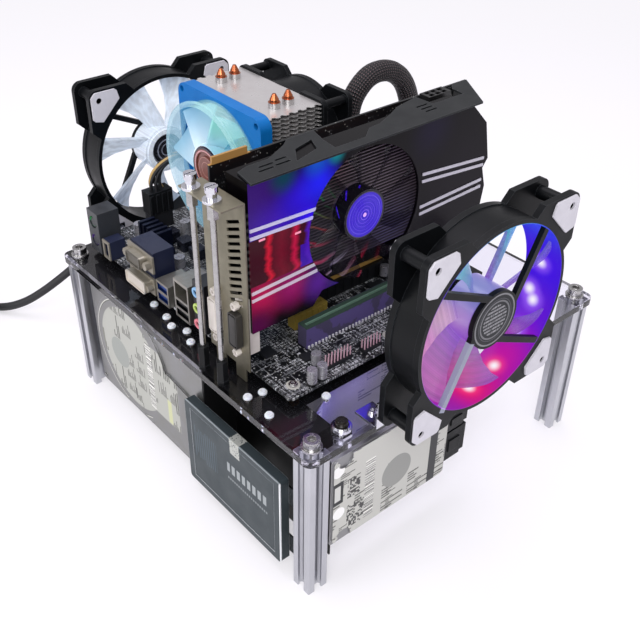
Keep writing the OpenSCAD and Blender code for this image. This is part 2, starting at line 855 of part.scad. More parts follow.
module rear_fan_place() {
  translate([rear_fan_x, rear_fan_y + fan_t, rear_fan_z]) mirror([0, 1, 0]) along_y() children();
}

module case_fan_frame() {
  fan_frame(fan_w, fan_t, fan_pitch, fan_hole_d, fan_hub_d, fan_open_d, ear_t);
  up(strut_t) cylinder(d = shaft_d, h = shaft_h);
}

module case_fan_rotor() {
  difference() {
    up(strut_t + run)
      fan_rotor(fan_hub_d, fan_open_d - 4 * run, fan_t - strut_t - 5 * run, fan_blades, blade_t);
    up(-over) cylinder(d = shaft_d + 2 * run, h = shaft_h + strut_t + over + run);
  }
}

// A rubber pad on each corner, on both faces, its outline as shares of the fan's width
PAD_SHARES = [[0.304, 0.425], [0.317, 0.478], [0.33, 0.488], [0.46, 0.488], [0.488, 0.46], [0.488, 0.33], [0.478, 0.317], [0.425, 0.304]];

module case_fan_pads() {
  for (z = [-pad_t, fan_t]) up(z) linear_extrude(pad_t) difference() {
    for (a = [0 : 90 : 270]) rotate(a) polygon([for (p = PAD_SHARES) fan_w * p]);
    for (sx = [-1, 1], sy = [-1, 1]) translate([sx * fan_pitch / 2, sy * fan_pitch / 2]) circle(d = fan_hole_d);
  }
}

module front_fan_frame() color("black") front_fan_place() case_fan_frame();
module rear_fan_frame() color("black") rear_fan_place() case_fan_frame();
module front_fan_rotor() color("violet") front_fan_place() case_fan_rotor();
module rear_fan_rotor() color("white") rear_fan_place() case_fan_rotor();

module fan_pads() color("white") {
  front_fan_place() case_fan_pads();
  rear_fan_place() case_fan_pads();
}

// Angle brackets between the fans' lower holes and the deck
bracket_t = 1.5;
bracket_w = 14;
bracket_l = 16;

module at_bracket_screws() {
  for (s = [-1, 1]) {
    translate([front_fan_x + s * fan_pitch / 2, -deck_y + bracket_l * 0.55, 0]) children();
    translate([rear_fan_x + s * fan_pitch / 2, deck_y - bracket_l * 0.55, 0]) children();
  }
}

// One bracket, its upright plate ending at the height of the fan's hole
module fan_bracket(reach, hole_h) {
  low = min(0, hole_h - bracket_w / 2);
  high = max(bracket_t, hole_h + bracket_w / 2);
  difference() {
    union() {
      translate([-bracket_w / 2, -reach, 0]) cube([bracket_w, reach + bracket_l, bracket_t]);
      translate([-bracket_w / 2, -reach, low]) cube([bracket_w, bracket_t, high - low]);
    }
    translate([0, bracket_l * 0.55, 0]) through(deck_screw_d, bracket_t);
    translate([0, -reach, hole_h]) along_y() through(screw_d + 2 * fit, bracket_t);
  }
  translate([0, bracket_l * 0.55, bracket_t]) button_head(screw_head_d, screw_head_h);
  translate([0, bracket_l * 0.55, -deck_t]) cylinder(d = screw_d, h = deck_t + bracket_t);
  translate([0, -reach + bracket_t, hole_h]) along_y() button_head(screw_head_d, screw_head_h);
  translate([0, -reach - ear_t, hole_h]) along_y() cylinder(d = screw_d, h = ear_t + bracket_t);
}

module fan_brackets() color("silver") for (s = [-1, 1]) {
  translate([front_fan_x + s * fan_pitch / 2, -deck_y, deck_z])
    fan_bracket(-deck_y - front_fan_y - fan_t - pad_t, front_fan_z - deck_z - fan_pitch / 2);
  translate([rear_fan_x + s * fan_pitch / 2, deck_y, deck_z]) mirror([0, 1, 0])
    fan_bracket(rear_fan_y - deck_y - pad_t, rear_fan_z - deck_z - fan_pitch / 2);
}

// Cooler fans
cfan_t = 22;
cfan_ring_t = 13;
cfan_hub_d = 34;
cfan_hole_inset = 4.75;
cfan_pitch = cfan_w - 2 * cfan_hole_inset;
cfan_open_d = cfan_w * 0.92;
cfan_above = 2;
cfan_z = fins_top + cfan_above - cfan_w / 2;
cfan_x = cooler_x - fin_w / 2 - cfan_t;
cfan_strut_t = 2.4;
cfan_strut_w = 4;
cfan_shaft_d = 6;
cfan_shaft_h = 6;
cfan_blade_t = 1.4;
pull_t = 25;
pull_ear_t = 3.5;
pull_strut_t = pull_ear_t * 0.8;
pull_x = cooler_x + fin_w / 2;
ring_wall = 1.8;

module cooler_fan_place() {
  translate([cfan_x, cooler_y, cfan_z]) along_x() children();
}

module pull_fan_place() {
  translate([pull_x + pull_t, cooler_y, cfan_z]) along_x() mirror([0, 0, 1]) children();
}

module cooler_fan_frame() color("dodgerblue") cooler_fan_place() {
  up(cfan_ring_t) difference() {
    round_block(cfan_w, cfan_w, cfan_t - cfan_ring_t, cfan_w * 0.09);
    through(cfan_open_d, cfan_t);
    at_fan_holes(cfan_pitch) through(fan_hole_d, cfan_t);
  }
  up(cfan_t - cfan_strut_t) {
    cylinder(d = cfan_hub_d, h = cfan_strut_t);
    for (k = [0 : 3]) rotate(20 + 90 * k) translate([cfan_hub_d * 0.4, -cfan_strut_w / 2, 0])
      cube([cfan_open_d * 0.506 - cfan_hub_d * 0.4, cfan_strut_w, cfan_strut_t]);
  }
  up(cfan_t - cfan_strut_t - cfan_shaft_h) cylinder(d = cfan_shaft_d, h = cfan_shaft_h + fit);
}

module cooler_fan_ring() color("paleturquoise", 0.6) cooler_fan_place() difference() {
  union() {
    cylinder(d = cfan_open_d + 2 * ring_wall, h = cfan_ring_t);
    cylinder(d = cfan_open_d + 4 * ring_wall, h = ring_wall);
  }
  through(cfan_open_d, cfan_ring_t);
}

// Rotor of a cooler fan on the near side of struts that end at the given height
module cooler_rotor(depth) {
  difference() {
    fan_rotor(cfan_hub_d, cfan_open_d - 4 * run, depth - 5 * run, fan_blades, cfan_blade_t);
    up(-over) cylinder(d = cfan_shaft_d + 2 * run, h = cfan_shaft_h + over + run);
  }
}

module cooler_fan_rotor() color("azure") cooler_fan_place()
  up(cfan_t - cfan_strut_t - run) mirror([0, 0, 1]) cooler_rotor(cfan_t - cfan_strut_t);

module pull_fan_frame() color("black") pull_fan_place() {
  fan_frame(cfan_w, pull_t, cfan_pitch, fan_hole_d, cfan_hub_d, cfan_open_d, pull_ear_t);
  up(pull_strut_t - fit) cylinder(d = cfan_shaft_d, h = cfan_shaft_h + fit - run);
}

module pull_fan_rotor() color("dimgray") pull_fan_place()
  up(pull_strut_t + run) cooler_rotor(pull_t - pull_strut_t);

// Graphics card
card_z0 = board_z + card_seat;
card_top = card_z0 + card_h;
card_y = card_slot_y;
card_front = card_y - card_d;
card_past_board = 1;
card_x0 = board_x0 - card_past_board;
bracket_past_board = 4.5;
bracket_x = board_x0 - bracket_past_board;
sheet_t = 1;
cb_h = 122.5;
cb_lift = 0.3;
cb_z = deck_z + cb_lift;
cb_w = 39.8;
cb_past = 3.5;
cb_y = card_y + cb_past - cb_w;
card_flange = 14.5;
card_tip_w = 9.8;
card_tip_h = 12;
card_tip_edge = 4.2;
vent_count = 13;
vent_l = 13;
vent_w = 2;
vent_step = 4.6;
vent_up = 54;
card_lug_l = 12;
card_lug_h = 9;
gold_l = card_slot_l - 2 * card_slot_wall - 10 * fit;
crest_l = 24;
crest_h = 4;

module card_board() color("black") {
  translate([card_x0, card_y - card_t / 2, card_z0 + card_slot_h]) cube([card_l, card_t, card_h - card_slot_h]);
  translate([card_slot_x + card_slot_wall + fit, card_y - card_t / 2, card_z0]) cube([gold_l, card_t, card_slot_h]);
  translate([card_x0 + card_slot_wall, card_y - card_t / 2, card_top]) cube([crest_l, card_t, crest_h]);
}

// The two-slot bracket: a folded sheet with slanted vents, tips and a flange for the screws
module card_bracket() color("tan") translate([bracket_x, cb_y, cb_z]) {
  difference() {
    union() {
      up(card_tip_h * 0.8) cube([sheet_t, cb_w, cb_h - card_tip_h * 0.8]);
      for (i = [0, 1]) translate([0, card_tip_edge + i * slot_pitch, 0]) cube([sheet_t, card_tip_w, card_tip_h]);
      translate([-card_flange, 0, cb_h - sheet_t])
        cube([card_flange + sheet_t, cb_w, sheet_t]);
    }
    for (n = [0 : vent_count - 1]) translate([-over, card_tip_edge, vent_up + n * vent_step])
      rotate([-24, 0, 0]) cube([sheet_t + 2 * over, vent_l, vent_w]);
    for (y = post_dy) translate([post_x - bracket_x, y, cb_h - sheet_t])
      through(thumb_thread_d + 4 * fit, sheet_t);
    for (y = port_dy) translate([-over, y, dvi_z]) along_x()
      round_block(dvi_w, dvi_l, sheet_t + 2 * over, dvi_r);
    for (y = port_dy, s = [-1, 1]) translate([0, y, dvi_z + s * dvi_pitch / 2]) along_x()
      through(dvi_screw_d + 4 * fit, sheet_t);
  }
  for (z = [0.2, 0.8]) translate([sheet_t, cb_w - cb_past - card_t / 2 - sheet_t, cb_h * z])
    cube([card_lug_l, sheet_t, card_lug_h]);
}

// Sockets of the card: two digital video sockets in the bracket, a power socket on top
dvi_l = 24;
dvi_w = 8.6;
dvi_r = 1.8;
dvi_wall = 0.8;
dvi_proud = 4.5;
dvi_deep = 12;
dvi_z = 37;
dvi_pitch = 33;
dvi_screw_d = 4;
dvi_screw_bore = 2.4;
dvi_screw_af = 4.6;
port_dy = [9.8, 30.1];
power_from_left = 163;
power_x = card_x0 + power_from_left;
power_l = 20;
power_w = 9;
power_h = 13.5;
power_proud = 1.5;
power_cell_l = 4;
power_cell_w = 3;
power_cell_z = 5;

module dvi_socket() {
  difference() {
    along_x() round_block(dvi_w - 2 * fit, dvi_l - 2 * fit, dvi_proud + dvi_deep, dvi_r - fit);
    translate([-over, 0, 0]) along_x()
      round_block(dvi_w - 2 * fit - 2 * dvi_wall, dvi_l - 2 * fit - 2 * dvi_wall, dvi_proud + over, dvi_r - dvi_wall);
  }
  along_x() round_block(dvi_w * 0.7, dvi_l * 0.86, dvi_proud, dvi_r - dvi_wall);
  for (s = [-1, 1]) up(s * dvi_pitch / 2) difference() {
    union() {
      translate([dvi_proud * 0.2, 0, 0]) along_x() hex_prism(dvi_screw_af, dvi_proud * 0.8);
      translate([dvi_proud, 0, 0]) along_x() cylinder(d = dvi_screw_d, h = dvi_deep);
    }
    along_x() cylinder(d = dvi_screw_bore, h = dvi_proud);
  }
  translate([dvi_proud + dvi_deep * 0.12, -dvi_w / 2, -dvi_pitch * 0.6])
    cube([dvi_deep * 0.88, dvi_w, dvi_pitch * 1.2]);
}

module card_ports() color("ivory") {
  for (y = port_dy) translate([bracket_x - dvi_proud, cb_y + y, cb_z + dvi_z]) dvi_socket();
  translate([power_x, card_y - card_t / 2 - power_w, card_top - power_h + power_proud]) difference() {
    cube([power_l, power_w, power_h]);
    for (i = [0 : 2], j = [0, 1])
      translate([power_l * (0.11 + 0.28 * i), power_w * (0.09 + 0.44 * j), power_cell_z])
        cube([power_cell_l, power_cell_w, power_h]);
  }
}

// Fins across the card, on a plate against its board, with a bent pipe over them
shroud_t = 2;
shroud_deep = 20;
shroud_l = 198;
shroud_h = 97.1;
shroud_up = 26.4;
shroud_x0 = card_x0 + shroud_t;
shroud_z0 = board_z + shroud_up;
card_fin_n = 34;
card_fin_pitch = 2.2;
card_fin_t = 0.7;
card_plate_t = 4;
sink_l = 150;
sink_from_left = 22;
sink_lift = 11.9;
sink_x = card_x0 + sink_from_left;
sink_z = shroud_z0 + sink_lift;
sink_h = (card_fin_n - 1) * card_fin_pitch + card_fin_t;
card_fan_from_left = 89.5;
card_fan_up = 75;
card_fan_x = card_x0 + card_fan_from_left;
card_fan_z = board_z + card_fan_up;
card_fan_t = 12;
card_fan_gap = 2;
card_fan_y = card_front + card_fan_gap + card_fan_t;
card_hub_d = card_fan_d * 0.37;
card_shaft_d = 6;
card_shaft_h = 5.4;
card_seat_t = 1;
card_cut = 2;

module card_heatsink() color("dimgray") difference() {
  union() {
    translate([sink_x, card_y - card_t / 2 - card_plate_t, sink_z])
      cube([sink_l, card_plate_t, sink_h]);
    for (n = [0 : card_fin_n - 1]) translate([sink_x, card_fan_y, sink_z + n * card_fin_pitch])
      cube([sink_l, card_y - card_t / 2 - card_plate_t * 0.75 - card_fan_y, card_fin_t]);
    translate([card_fan_x, card_fan_y - card_seat_t, card_fan_z]) along_y()
      cylinder(d = card_fan_d * 0.36, h = card_seat_t + 2 * fit);
    translate([card_fan_x, card_fan_y - card_shaft_h, card_fan_z]) along_y()
      cylinder(d = card_shaft_d, h = card_shaft_h + 2 * fit);
  }
  translate([power_x - card_cut, card_y - power_w - card_cut - card_t / 2, card_top - power_h])
    cube([power_l + 2 * card_cut, power_w + card_cut + over, power_h]);
}

// The pipe lies on the top fin and is bent down past both ends of the stack
card_pipe_from_front = 19;
card_pipe_y = card_front + card_pipe_from_front;
card_bend = 10;
card_pipe_down = 24;

module card_pipe() color("peru") translate([0, card_pipe_y, sink_z + sink_h + pipe_d / 2 + fit / 2]) {
  left = sink_x - card_bend;
  right = sink_x + sink_l + card_bend;
  translate([left + card_bend, 0, 0]) along_x() cylinder(d = pipe_d, h = right - left - 2 * card_bend);
  for (e = [[left, 0], [right, 1]]) translate([e[0], 0, 0]) mirror([e[1], 0, 0]) {
    translate([card_bend, 0, -card_bend]) rotate([90, 0, 0]) rotate(90)
      rotate_extrude(angle = 90) translate([card_bend, 0]) circle(d = pipe_d);
    up(-card_bend - card_pipe_down) cylinder(d = pipe_d, h = card_pipe_down);
  }
}

// The shroud: a shell open towards the board, with a round opening and bright lines
stripe_w = 1.9;
stripe_t = 0.8;
// Outline of the front as shares of its length and height
SHROUD_OUTLINE_SHARES = [
  [0, 0], [0.232, 0], [0.268, 0.09], [0.95, 0.09], [0.99, 0.206], [1, 0.35],
  [0.978, 0.497], [1, 0.559], [0.97, 0.834], [0.89, 1], [0, 1]
];
// Lines: left and right end, and height at each, as shares of the length and height
STRIPE_SHARES = [
  [0, 0.245, 0.649, 0.63], [0, 0.245, 0.228, 0.25], [0.68, 0.975, 0.573, 0.516], [0.68, 0.975, 0.335, 0.353]
];

module shroud_outline(inset) {
  kx = inset / shroud_l;
  kz = inset / shroud_h;
  polygon([for (p = SHROUD_OUTLINE_SHARES) [shroud_l * (kx + p[0] * (1 - 2 * kx)), shroud_h * (kz + p[1] * (1 - 2 * kz))]]);
}

// A double bright line
module stripe(s) {
  for (k = [0, 2.6]) polygon([
    [shroud_l * s[0], shroud_h * s[2] + k * stripe_w], [shroud_l * s[1], shroud_h * s[3] + k * stripe_w],
    [shroud_l * s[1], shroud_h * s[3] + (k + 1) * stripe_w], [shroud_l * s[0], shroud_h * s[2] + (k + 1) * stripe_w]
  ]);
}

module card_shroud() color("indigo") translate([shroud_x0, card_front, shroud_z0]) along_y() {
  difference() {
    linear_extrude(shroud_deep) shroud_outline(0);
    up(shroud_t) linear_extrude(shroud_deep) shroud_outline(shroud_t);
    translate([card_fan_x - shroud_x0, card_fan_z - shroud_z0, 0]) through(card_fan_d, shroud_deep);
    translate([-over, cb_z + dvi_z - shroud_z0 - dvi_pitch * 0.6 - run, shroud_t])
      cube([over + dvi_deep, dvi_pitch * 1.2 + 2 * run, shroud_deep]);
  }
  up(-stripe_t) linear_extrude(stripe_t) difference() {
    union() for (s = STRIPE_SHARES) stripe(s);
    translate([card_fan_x - shroud_x0, card_fan_z - shroud_z0]) circle(d = card_fan_d);
  }
}

// A sheet over the top of the card, with a window, slots and tabs turned down at the board
stiff_t = 1.2;
stiff_short = 5;
stiff_l = card_l - stiff_short;
stiff_out = 3;
stiff_w = card_d + stiff_out - 1.25 * card_t * 0.5;
stiff_z = shroud_z0 + shroud_h;
stiff_tab_h = 8;
// Outline of the sheet, its openings and its tabs, as shares of its length and width
STIFF_OUTLINE_SHARES = [
  [0, 0], [0.897, 0], [1, 0.94], [0.93, 0.94], [0.905, 0.8], [0.9, 0.5], [0.764, 0.5], [0.76, 0.92],
  [0.66, 0.8], [0.6, 0.63], [0.532, 0.46], [0.483, 0.43], [0.433, 0.2], [0.318, 0.2], [0.325, 0.54],
  [0.345, 0.94], [0.246, 0.94], [0.217, 0.8], [0.128, 0.54], [0.055, 0.54], [0.015, 0.46]
];
STIFF_WINDOW_SHARES = [[0.18, 0.2], [0.275, 0.36], [0.3, 0.68], [0.225, 0.56]];
STIFF_SLOT_SHARES = [
  [0.06, 0.24, 0.05], [0.075, 0.36, 0.05], [0.12, 0.26, 0.05], [0.135, 0.4, 0.04],
  [0.7, 0.3, 0.05], [0.7, 0.42, 0.05], [0.7, 0.54, 0.05]
];
STIFF_TAB_SHARES = [[0.255, 0.08], [0.935, 0.05]];

module card_stiffener() color("slategray") translate([shroud_x0, card_front - stiff_out, stiff_z]) {
  linear_extrude(stiff_t) difference() {
    polygon([for (p = STIFF_OUTLINE_SHARES) [stiff_l * p[0], stiff_w * p[1]]]);
    polygon([for (p = STIFF_WINDOW_SHARES) [stiff_l * p[0], stiff_w * p[1]]]);
    for (p = STIFF_SLOT_SHARES) translate([stiff_l * p[0], stiff_w * p[1]]) square([stiff_l * p[2], stiff_w * 0.05]);
  }
  for (p = STIFF_TAB_SHARES) translate([stiff_l * p[0], stiff_w * 0.94 - stiff_t, -stiff_tab_h])
    cube([stiff_l * p[1], stiff_t, stiff_tab_h + stiff_t]);
}

card_fan_in = 1.2;
card_blade_t = 1.1;
module card_fan_rotor() color("midnightblue") translate([card_fan_x, card_front + card_fan_in, card_fan_z]) along_y() difference() {
  fan_rotor(card_hub_d, card_fan_d * 0.967, card_fan_t * 0.95, 9, card_blade_t);
  up(card_fan_y - card_front - card_fan_in - card_shaft_h - run) cylinder(d = card_shaft_d + 2 * run, h = card_fan_t);
}

// Two posts that hold the card's bracket
post_out = 10.8;
post_x = bracket_x - post_out;
post_dy = [13, 32.6];
post_base_h = 14;
post_nut_h = 3;
post_base_af = 6.4;
post_rod_d = 3.6;
post_rod_in = 8;
post_washer_d = 8;
post_collar_d = 6;
post_collar_h = 9;
thumb_thread_d = 3;
thumb_d = 10.5;
thumb_h = 9.1;
thumb_flange_t = 1.6;
thumb_slot_w = 1;
thumb_grip = 7.5;
thumb_reach = sheet_t + thumb_grip;
post_top = cb_z + cb_h - sheet_t;

module at_posts() {
  for (y = post_dy) translate([post_x, cb_y + y, 0]) children();
}

module post_bases() color("black") at_posts() up(deck_z) {
  hex_prism(post_washer_d * cos(30), post_nut_h);
  up(post_nut_h) difference() {
    hex_prism(post_base_af, post_base_h);
    up(post_base_h - post_rod_in) cylinder(d = post_rod_d, h = post_rod_in + over);
  }
}

module post_rods() color("silver") at_posts() {
  low = deck_z + post_nut_h + post_base_h - post_rod_in;
  up(low) cylinder(d = post_rod_d, h = post_top - post_collar_h - low);
  up(post_top - post_collar_h) difference() {
    hex_prism(post_collar_d, post_collar_h);
    up(post_collar_h - thumb_grip) cylinder(d = thumb_thread_d, h = thumb_grip + over);
  }
}

module thumb_screws() color("gainsboro") at_posts() up(post_top + sheet_t) {
  difference() {
    union() {
      cylinder(d = thumb_d, h = thumb_flange_t);
      cylinder(d = thumb_d * 0.56, h = thumb_h);
      up(thumb_h * 0.6) cylinder(d = thumb_d * 0.7, h = thumb_h * 0.4);
    }
    up(thumb_h * 0.82) block(thumb_d, thumb_slot_w, thumb_h);
  }
  up(-thumb_reach) cylinder(d = thumb_thread_d, h = thumb_reach + thumb_flange_t);
}

// Drives
label_t = 1.3;
drive_lip = 1.2;
drive_cast_t = drive_t - label_t - drive_lip;
drive_edge = 10;
drive_pocket = 5;
drive_board_t = 1.6;
drive_r = 2.5;
drive_screw_d = 2.6;
drive_head_d = 3.6;
drive_head_t = 0.9;
// Screws of the cover, as shares of the drive's length and width
DRIVE_SCREW_SHARES = [[0.03, 0.05], [0.03, 0.95], [0.97, 0.05], [0.97, 0.95], [0.62, 0.92], [0.5, 0.04]];
// Right side of the cover's raised part, as shares of the drive's length and width
DRIVE_COVER_SHARES = [[0.3, 0.04], [0.86, 0.04], [0.97, 0.2], [0.97, 0.5], [0.9, 0.62], [0.7, 0.66]];

// A large drive standing on its long side, its cover towards the front
module large_drive() {
  back = label_t + drive_lip + drive_cast_t;
  translate([0, label_t + drive_lip, 0]) difference() {
    translate([drive_l / 2, 0, drive_w / 2]) along_y() round_block(drive_l, drive_w, drive_cast_t, drive_r);
    translate([drive_edge, drive_cast_t - drive_pocket, drive_edge * 0.8])
      cube([drive_l - 2 * drive_edge, drive_pocket + over, drive_w - drive_edge * 1.6]);
    for (x = [0.2, 0.72], z = [-over, drive_w - drive_pocket]) translate([drive_l * x, drive_cast_t * 0.62, z])
      cylinder(d = drive_screw_d, h = drive_pocket + over);
  }
  translate([drive_edge * 1.1, back - drive_t * 0.09, drive_edge * 0.9])
    cube([drive_l - 2.2 * drive_edge, drive_board_t, drive_w - 1.8 * drive_edge]);
  translate([drive_l * 0.37, back - drive_pocket - fit, drive_w * 0.5]) along_y() cylinder(d = drive_w * 0.26, h = drive_pocket);
  translate([drive_l / 2, label_t, drive_w / 2]) along_y()
    round_block(drive_l - 2 * drive_lip, drive_w - 2 * drive_lip, drive_lip + fit, drive_r * 1.6);
  along_y() linear_extrude(label_t + fit) intersection() {
    translate([drive_l * 0.04, drive_w * 0.06]) square([drive_l * 0.92, drive_w * 0.88]);
    union() {
      translate([drive_l * 0.37, drive_w * 0.5]) circle(d = drive_w * 0.97);
      polygon([for (p = DRIVE_COVER_SHARES) [drive_l * p[0], drive_w * p[1]]]);
    }
  }
  for (p = DRIVE_SCREW_SHARES) translate([drive_l * p[0], label_t - drive_head_t + fit, drive_w * p[1]])
    along_y() cylinder(d = drive_head_d, h = drive_head_t);
}

left_drive_in = 6.6;
left_drive_back = 115.5;
inner_drive_in = 33.5;
inner_drive_back = 50.5;
left_drive_x = -deck_x + left_drive_in;
left_drive_y = -deck_y + left_drive_back;
inner_drive_x = -deck_x + inner_drive_in;
inner_drive_y = -deck_y + inner_drive_back;

module left_drive() color("silver") translate([left_drive_x, left_drive_y + drive_l, leg_h - drive_w])
  rotate([0, 0, -90]) large_drive();

module inner_drive() color("silver") translate([inner_drive_x, inner_drive_y, leg_h - drive_w]) large_drive();

small_r = 2.4;
small_screw_d = 2.5;
small_screw_deep = 3;
small_x_shares = [0.14, 0.9];
small_z_shares = [0.05, 0.95];
ssd_z = 10.7;
ssd_gap = 8.5;
ssd_y0 = -leg_y + leg_w / 2 + ssd_gap;
ssd_out = 0.5;
ssd_x0 = -deck_x - ssd_out;
ssd_panel_t = 0.3;
ssd_mouth = 34;
ssd_mouth_deep = 3;
ssd_tongue_t = 1.2;

module ssd() color("darkslategray") translate([ssd_x0, ssd_y0, ssd_z]) {
  difference() {
    translate([0, small_l / 2, small_w / 2]) along_x() round_block(small_l, small_w, ssd_t, small_r);
    translate([-over, small_l * 0.06, small_w * 0.07]) cube([over + ssd_panel_t, small_l * 0.88, small_w * 0.86]);
    for (y = small_x_shares, z = small_z_shares) translate([ssd_t - small_screw_deep, small_l * y, small_w * z])
      along_x() cylinder(d = small_screw_d, h = small_screw_deep + over);
    translate([ssd_t * 0.28, small_l - ssd_mouth_deep, small_w * 0.2])
      cube([ssd_t * 0.52, ssd_mouth_deep + over, ssd_mouth]);
  }
  translate([ssd_t * 0.4, small_l - 2 * ssd_mouth_deep, small_w * 0.24])
    cube([ssd_tongue_t, ssd_mouth_deep * 1.84, ssd_mouth * 0.82]);
}

fdrive_gap = 1.5;
fdrive_out = 0.5;
fdrive_drop = 7.4;
fdrive_cover_t = 1;
fdrive_notch_r = 6;
fdrive_head_d = 3.2;
fdrive_head_t = 1.6;
fdrive_head_out = 0.3;
fdrive_x0 = -leg_x + leg_w / 2 + fdrive_gap;
fdrive_y0 = -leg_y - leg_w / 2 - fdrive_out;
fdrive_z = leg_h - fdrive_drop - small_w;

module front_drive() color("silver") translate([fdrive_x0, fdrive_y0, fdrive_z]) {
  difference() {
    translate([small_l / 2, fdrive_cover_t, small_w / 2]) along_y()
      round_block(small_l, small_w, small_t - fdrive_cover_t, small_r * 0.8);
    for (x = small_x_shares, z = small_z_shares) translate([small_l * x, small_t - small_screw_deep, small_w * z])
      along_y() cylinder(d = small_screw_d, h = small_screw_deep + over);
  }
  along_y() linear_extrude(fdrive_cover_t) difference() {
    translate([small_l / 2, small_w / 2]) round_square(small_l * 0.97, small_w * 0.97, small_r * 1.2);
    for (z = [0.04, 0.96]) translate([small_l * 0.1, small_w * z]) circle(r = fdrive_notch_r);
  }
  for (x = [0.04, 0.96], z = [0.06, 0.94]) translate([small_l * x, -fdrive_head_out, small_w * z])
    along_y() cylinder(d = fdrive_head_d, h = fdrive_head_t);
}

// Plugs in the front drive's right end: the wide one brings power, the narrow one data
plug_t = 5.6;
plug_l = 15;
plug_in = 1.4;
plug_rim = 0.9;
plug_tail = 5;
// Lower edge and height of each plug, as shares of the drive's width
PLUG_SHARES = [[0.115, 0.344], [0.487, 0.2]];
module drive_plugs() color("black") translate([fdrive_x0 + small_l, fdrive_y0 + plug_in, fdrive_z]) {
  for (s = PLUG_SHARES) translate([0, 0, small_w * s[0]]) {
    cube([plug_l, plug_t, small_w * s[1]]);
    translate([plug_l, plug_rim, plug_rim]) cube([plug_tail, plug_t - 2 * plug_rim, small_w * s[1] - 2 * plug_rim]);
    translate([plug_l * 0.2, -plug_rim, small_w * s[1] * 0.3]) cube([plug_l * 0.67, plug_rim, small_w * s[1] * 0.4]);
  }
}

// Folded straps between the near leg's slots and the two small drives
strap_t = 1.2;
strap_w = 14;
strap_foot = 9;
strap_head_d = 4;
strap_head_h = 1.4;
module drive_brackets() color("silver") for (z = [0.2, 0.8]) {
  translate([ssd_x0 + ssd_t, ssd_y0 - ssd_gap, ssd_z + small_w * z - strap_w / 2]) {
    cube([strap_t, ssd_gap + small_l * 0.24, strap_w]);
    cube([strap_foot, strap_t, strap_w]);
    translate([-leg_x - ssd_x0 - ssd_t, strap_t, strap_w / 2]) along_y() button_head(strap_head_d * 1.25, strap_head_h * 1.4);
    translate([strap_t, ssd_gap + small_l * 0.14, strap_w / 2]) along_x() button_head(strap_head_d, strap_head_h);
  }
  translate([fdrive_x0 - fdrive_gap, fdrive_y0 + small_t, fdrive_z + small_w * z - strap_w / 2]) {
    cube([fdrive_gap + small_l * 0.24, strap_t, strap_w]);
    cube([strap_t, strap_foot * 0.67, strap_w]);
    translate([strap_t, strap_foot * 0.38, strap_w / 2]) along_x() button_head(strap_head_d, strap_head_h * 1.4);
    translate([fdrive_gap + small_l * 0.14, strap_t, strap_w / 2]) along_y() button_head(strap_head_d, strap_head_h);
  }
}

// Power supply
psu_gap = 11.9;
psu_x0 = left_drive_x + drive_t + psu_gap;
psu_from_rear = 5.5;
psu_y1 = deck_y - psu_from_rear;
psu_z1 = leg_h - bracket_t;
psu_sheet = 1.2;
guard_t = 1.6;
guard_past = 4;
psu_fan_d = fan_open_d + guard_past;
inlet_from_left = 22;
inlet_x = psu_x0 + inlet_from_left;
inlet_z = 60;
inlet_w = 28;
inlet_h = 21;
inlet_deep = 16;
inlet_floor = 4;
inlet_wall = 2;
blade_out = 7;
inlet_blade_w = 2;
inlet_blade_h = 4.4;
inlet_blade_l = 10;
earth_up = 4;
switch_from_inlet = 25;
switch_x = inlet_x + switch_from_inlet;
switch_w = 13;
switch_h = 19;
rocker_h = 15.8;
rocker_in = 3.5;
rocker_out = 5.8;
rocker_pin_d = 3;
rocker_pin_l = 1.6;
rocker_behind = 2.5;
rocker_y = psu_y1 - psu_sheet - rocker_behind;
vent_af = 5.6;
vent_x0 = 63;
vent_z0 = 9;
vent_dx = 7.6;
vent_dz = 7.4;
grommet_d = 26;
grommet_down = 24;

module psu_shell_block(inset) {
  translate([psu_x0 + inset, psu_y1 - psu_d + inset, psu_z1 - psu_h + inset])
    cube([psu_w - 2 * inset, psu_d - 2 * inset, psu_h - 2 * inset]);
}

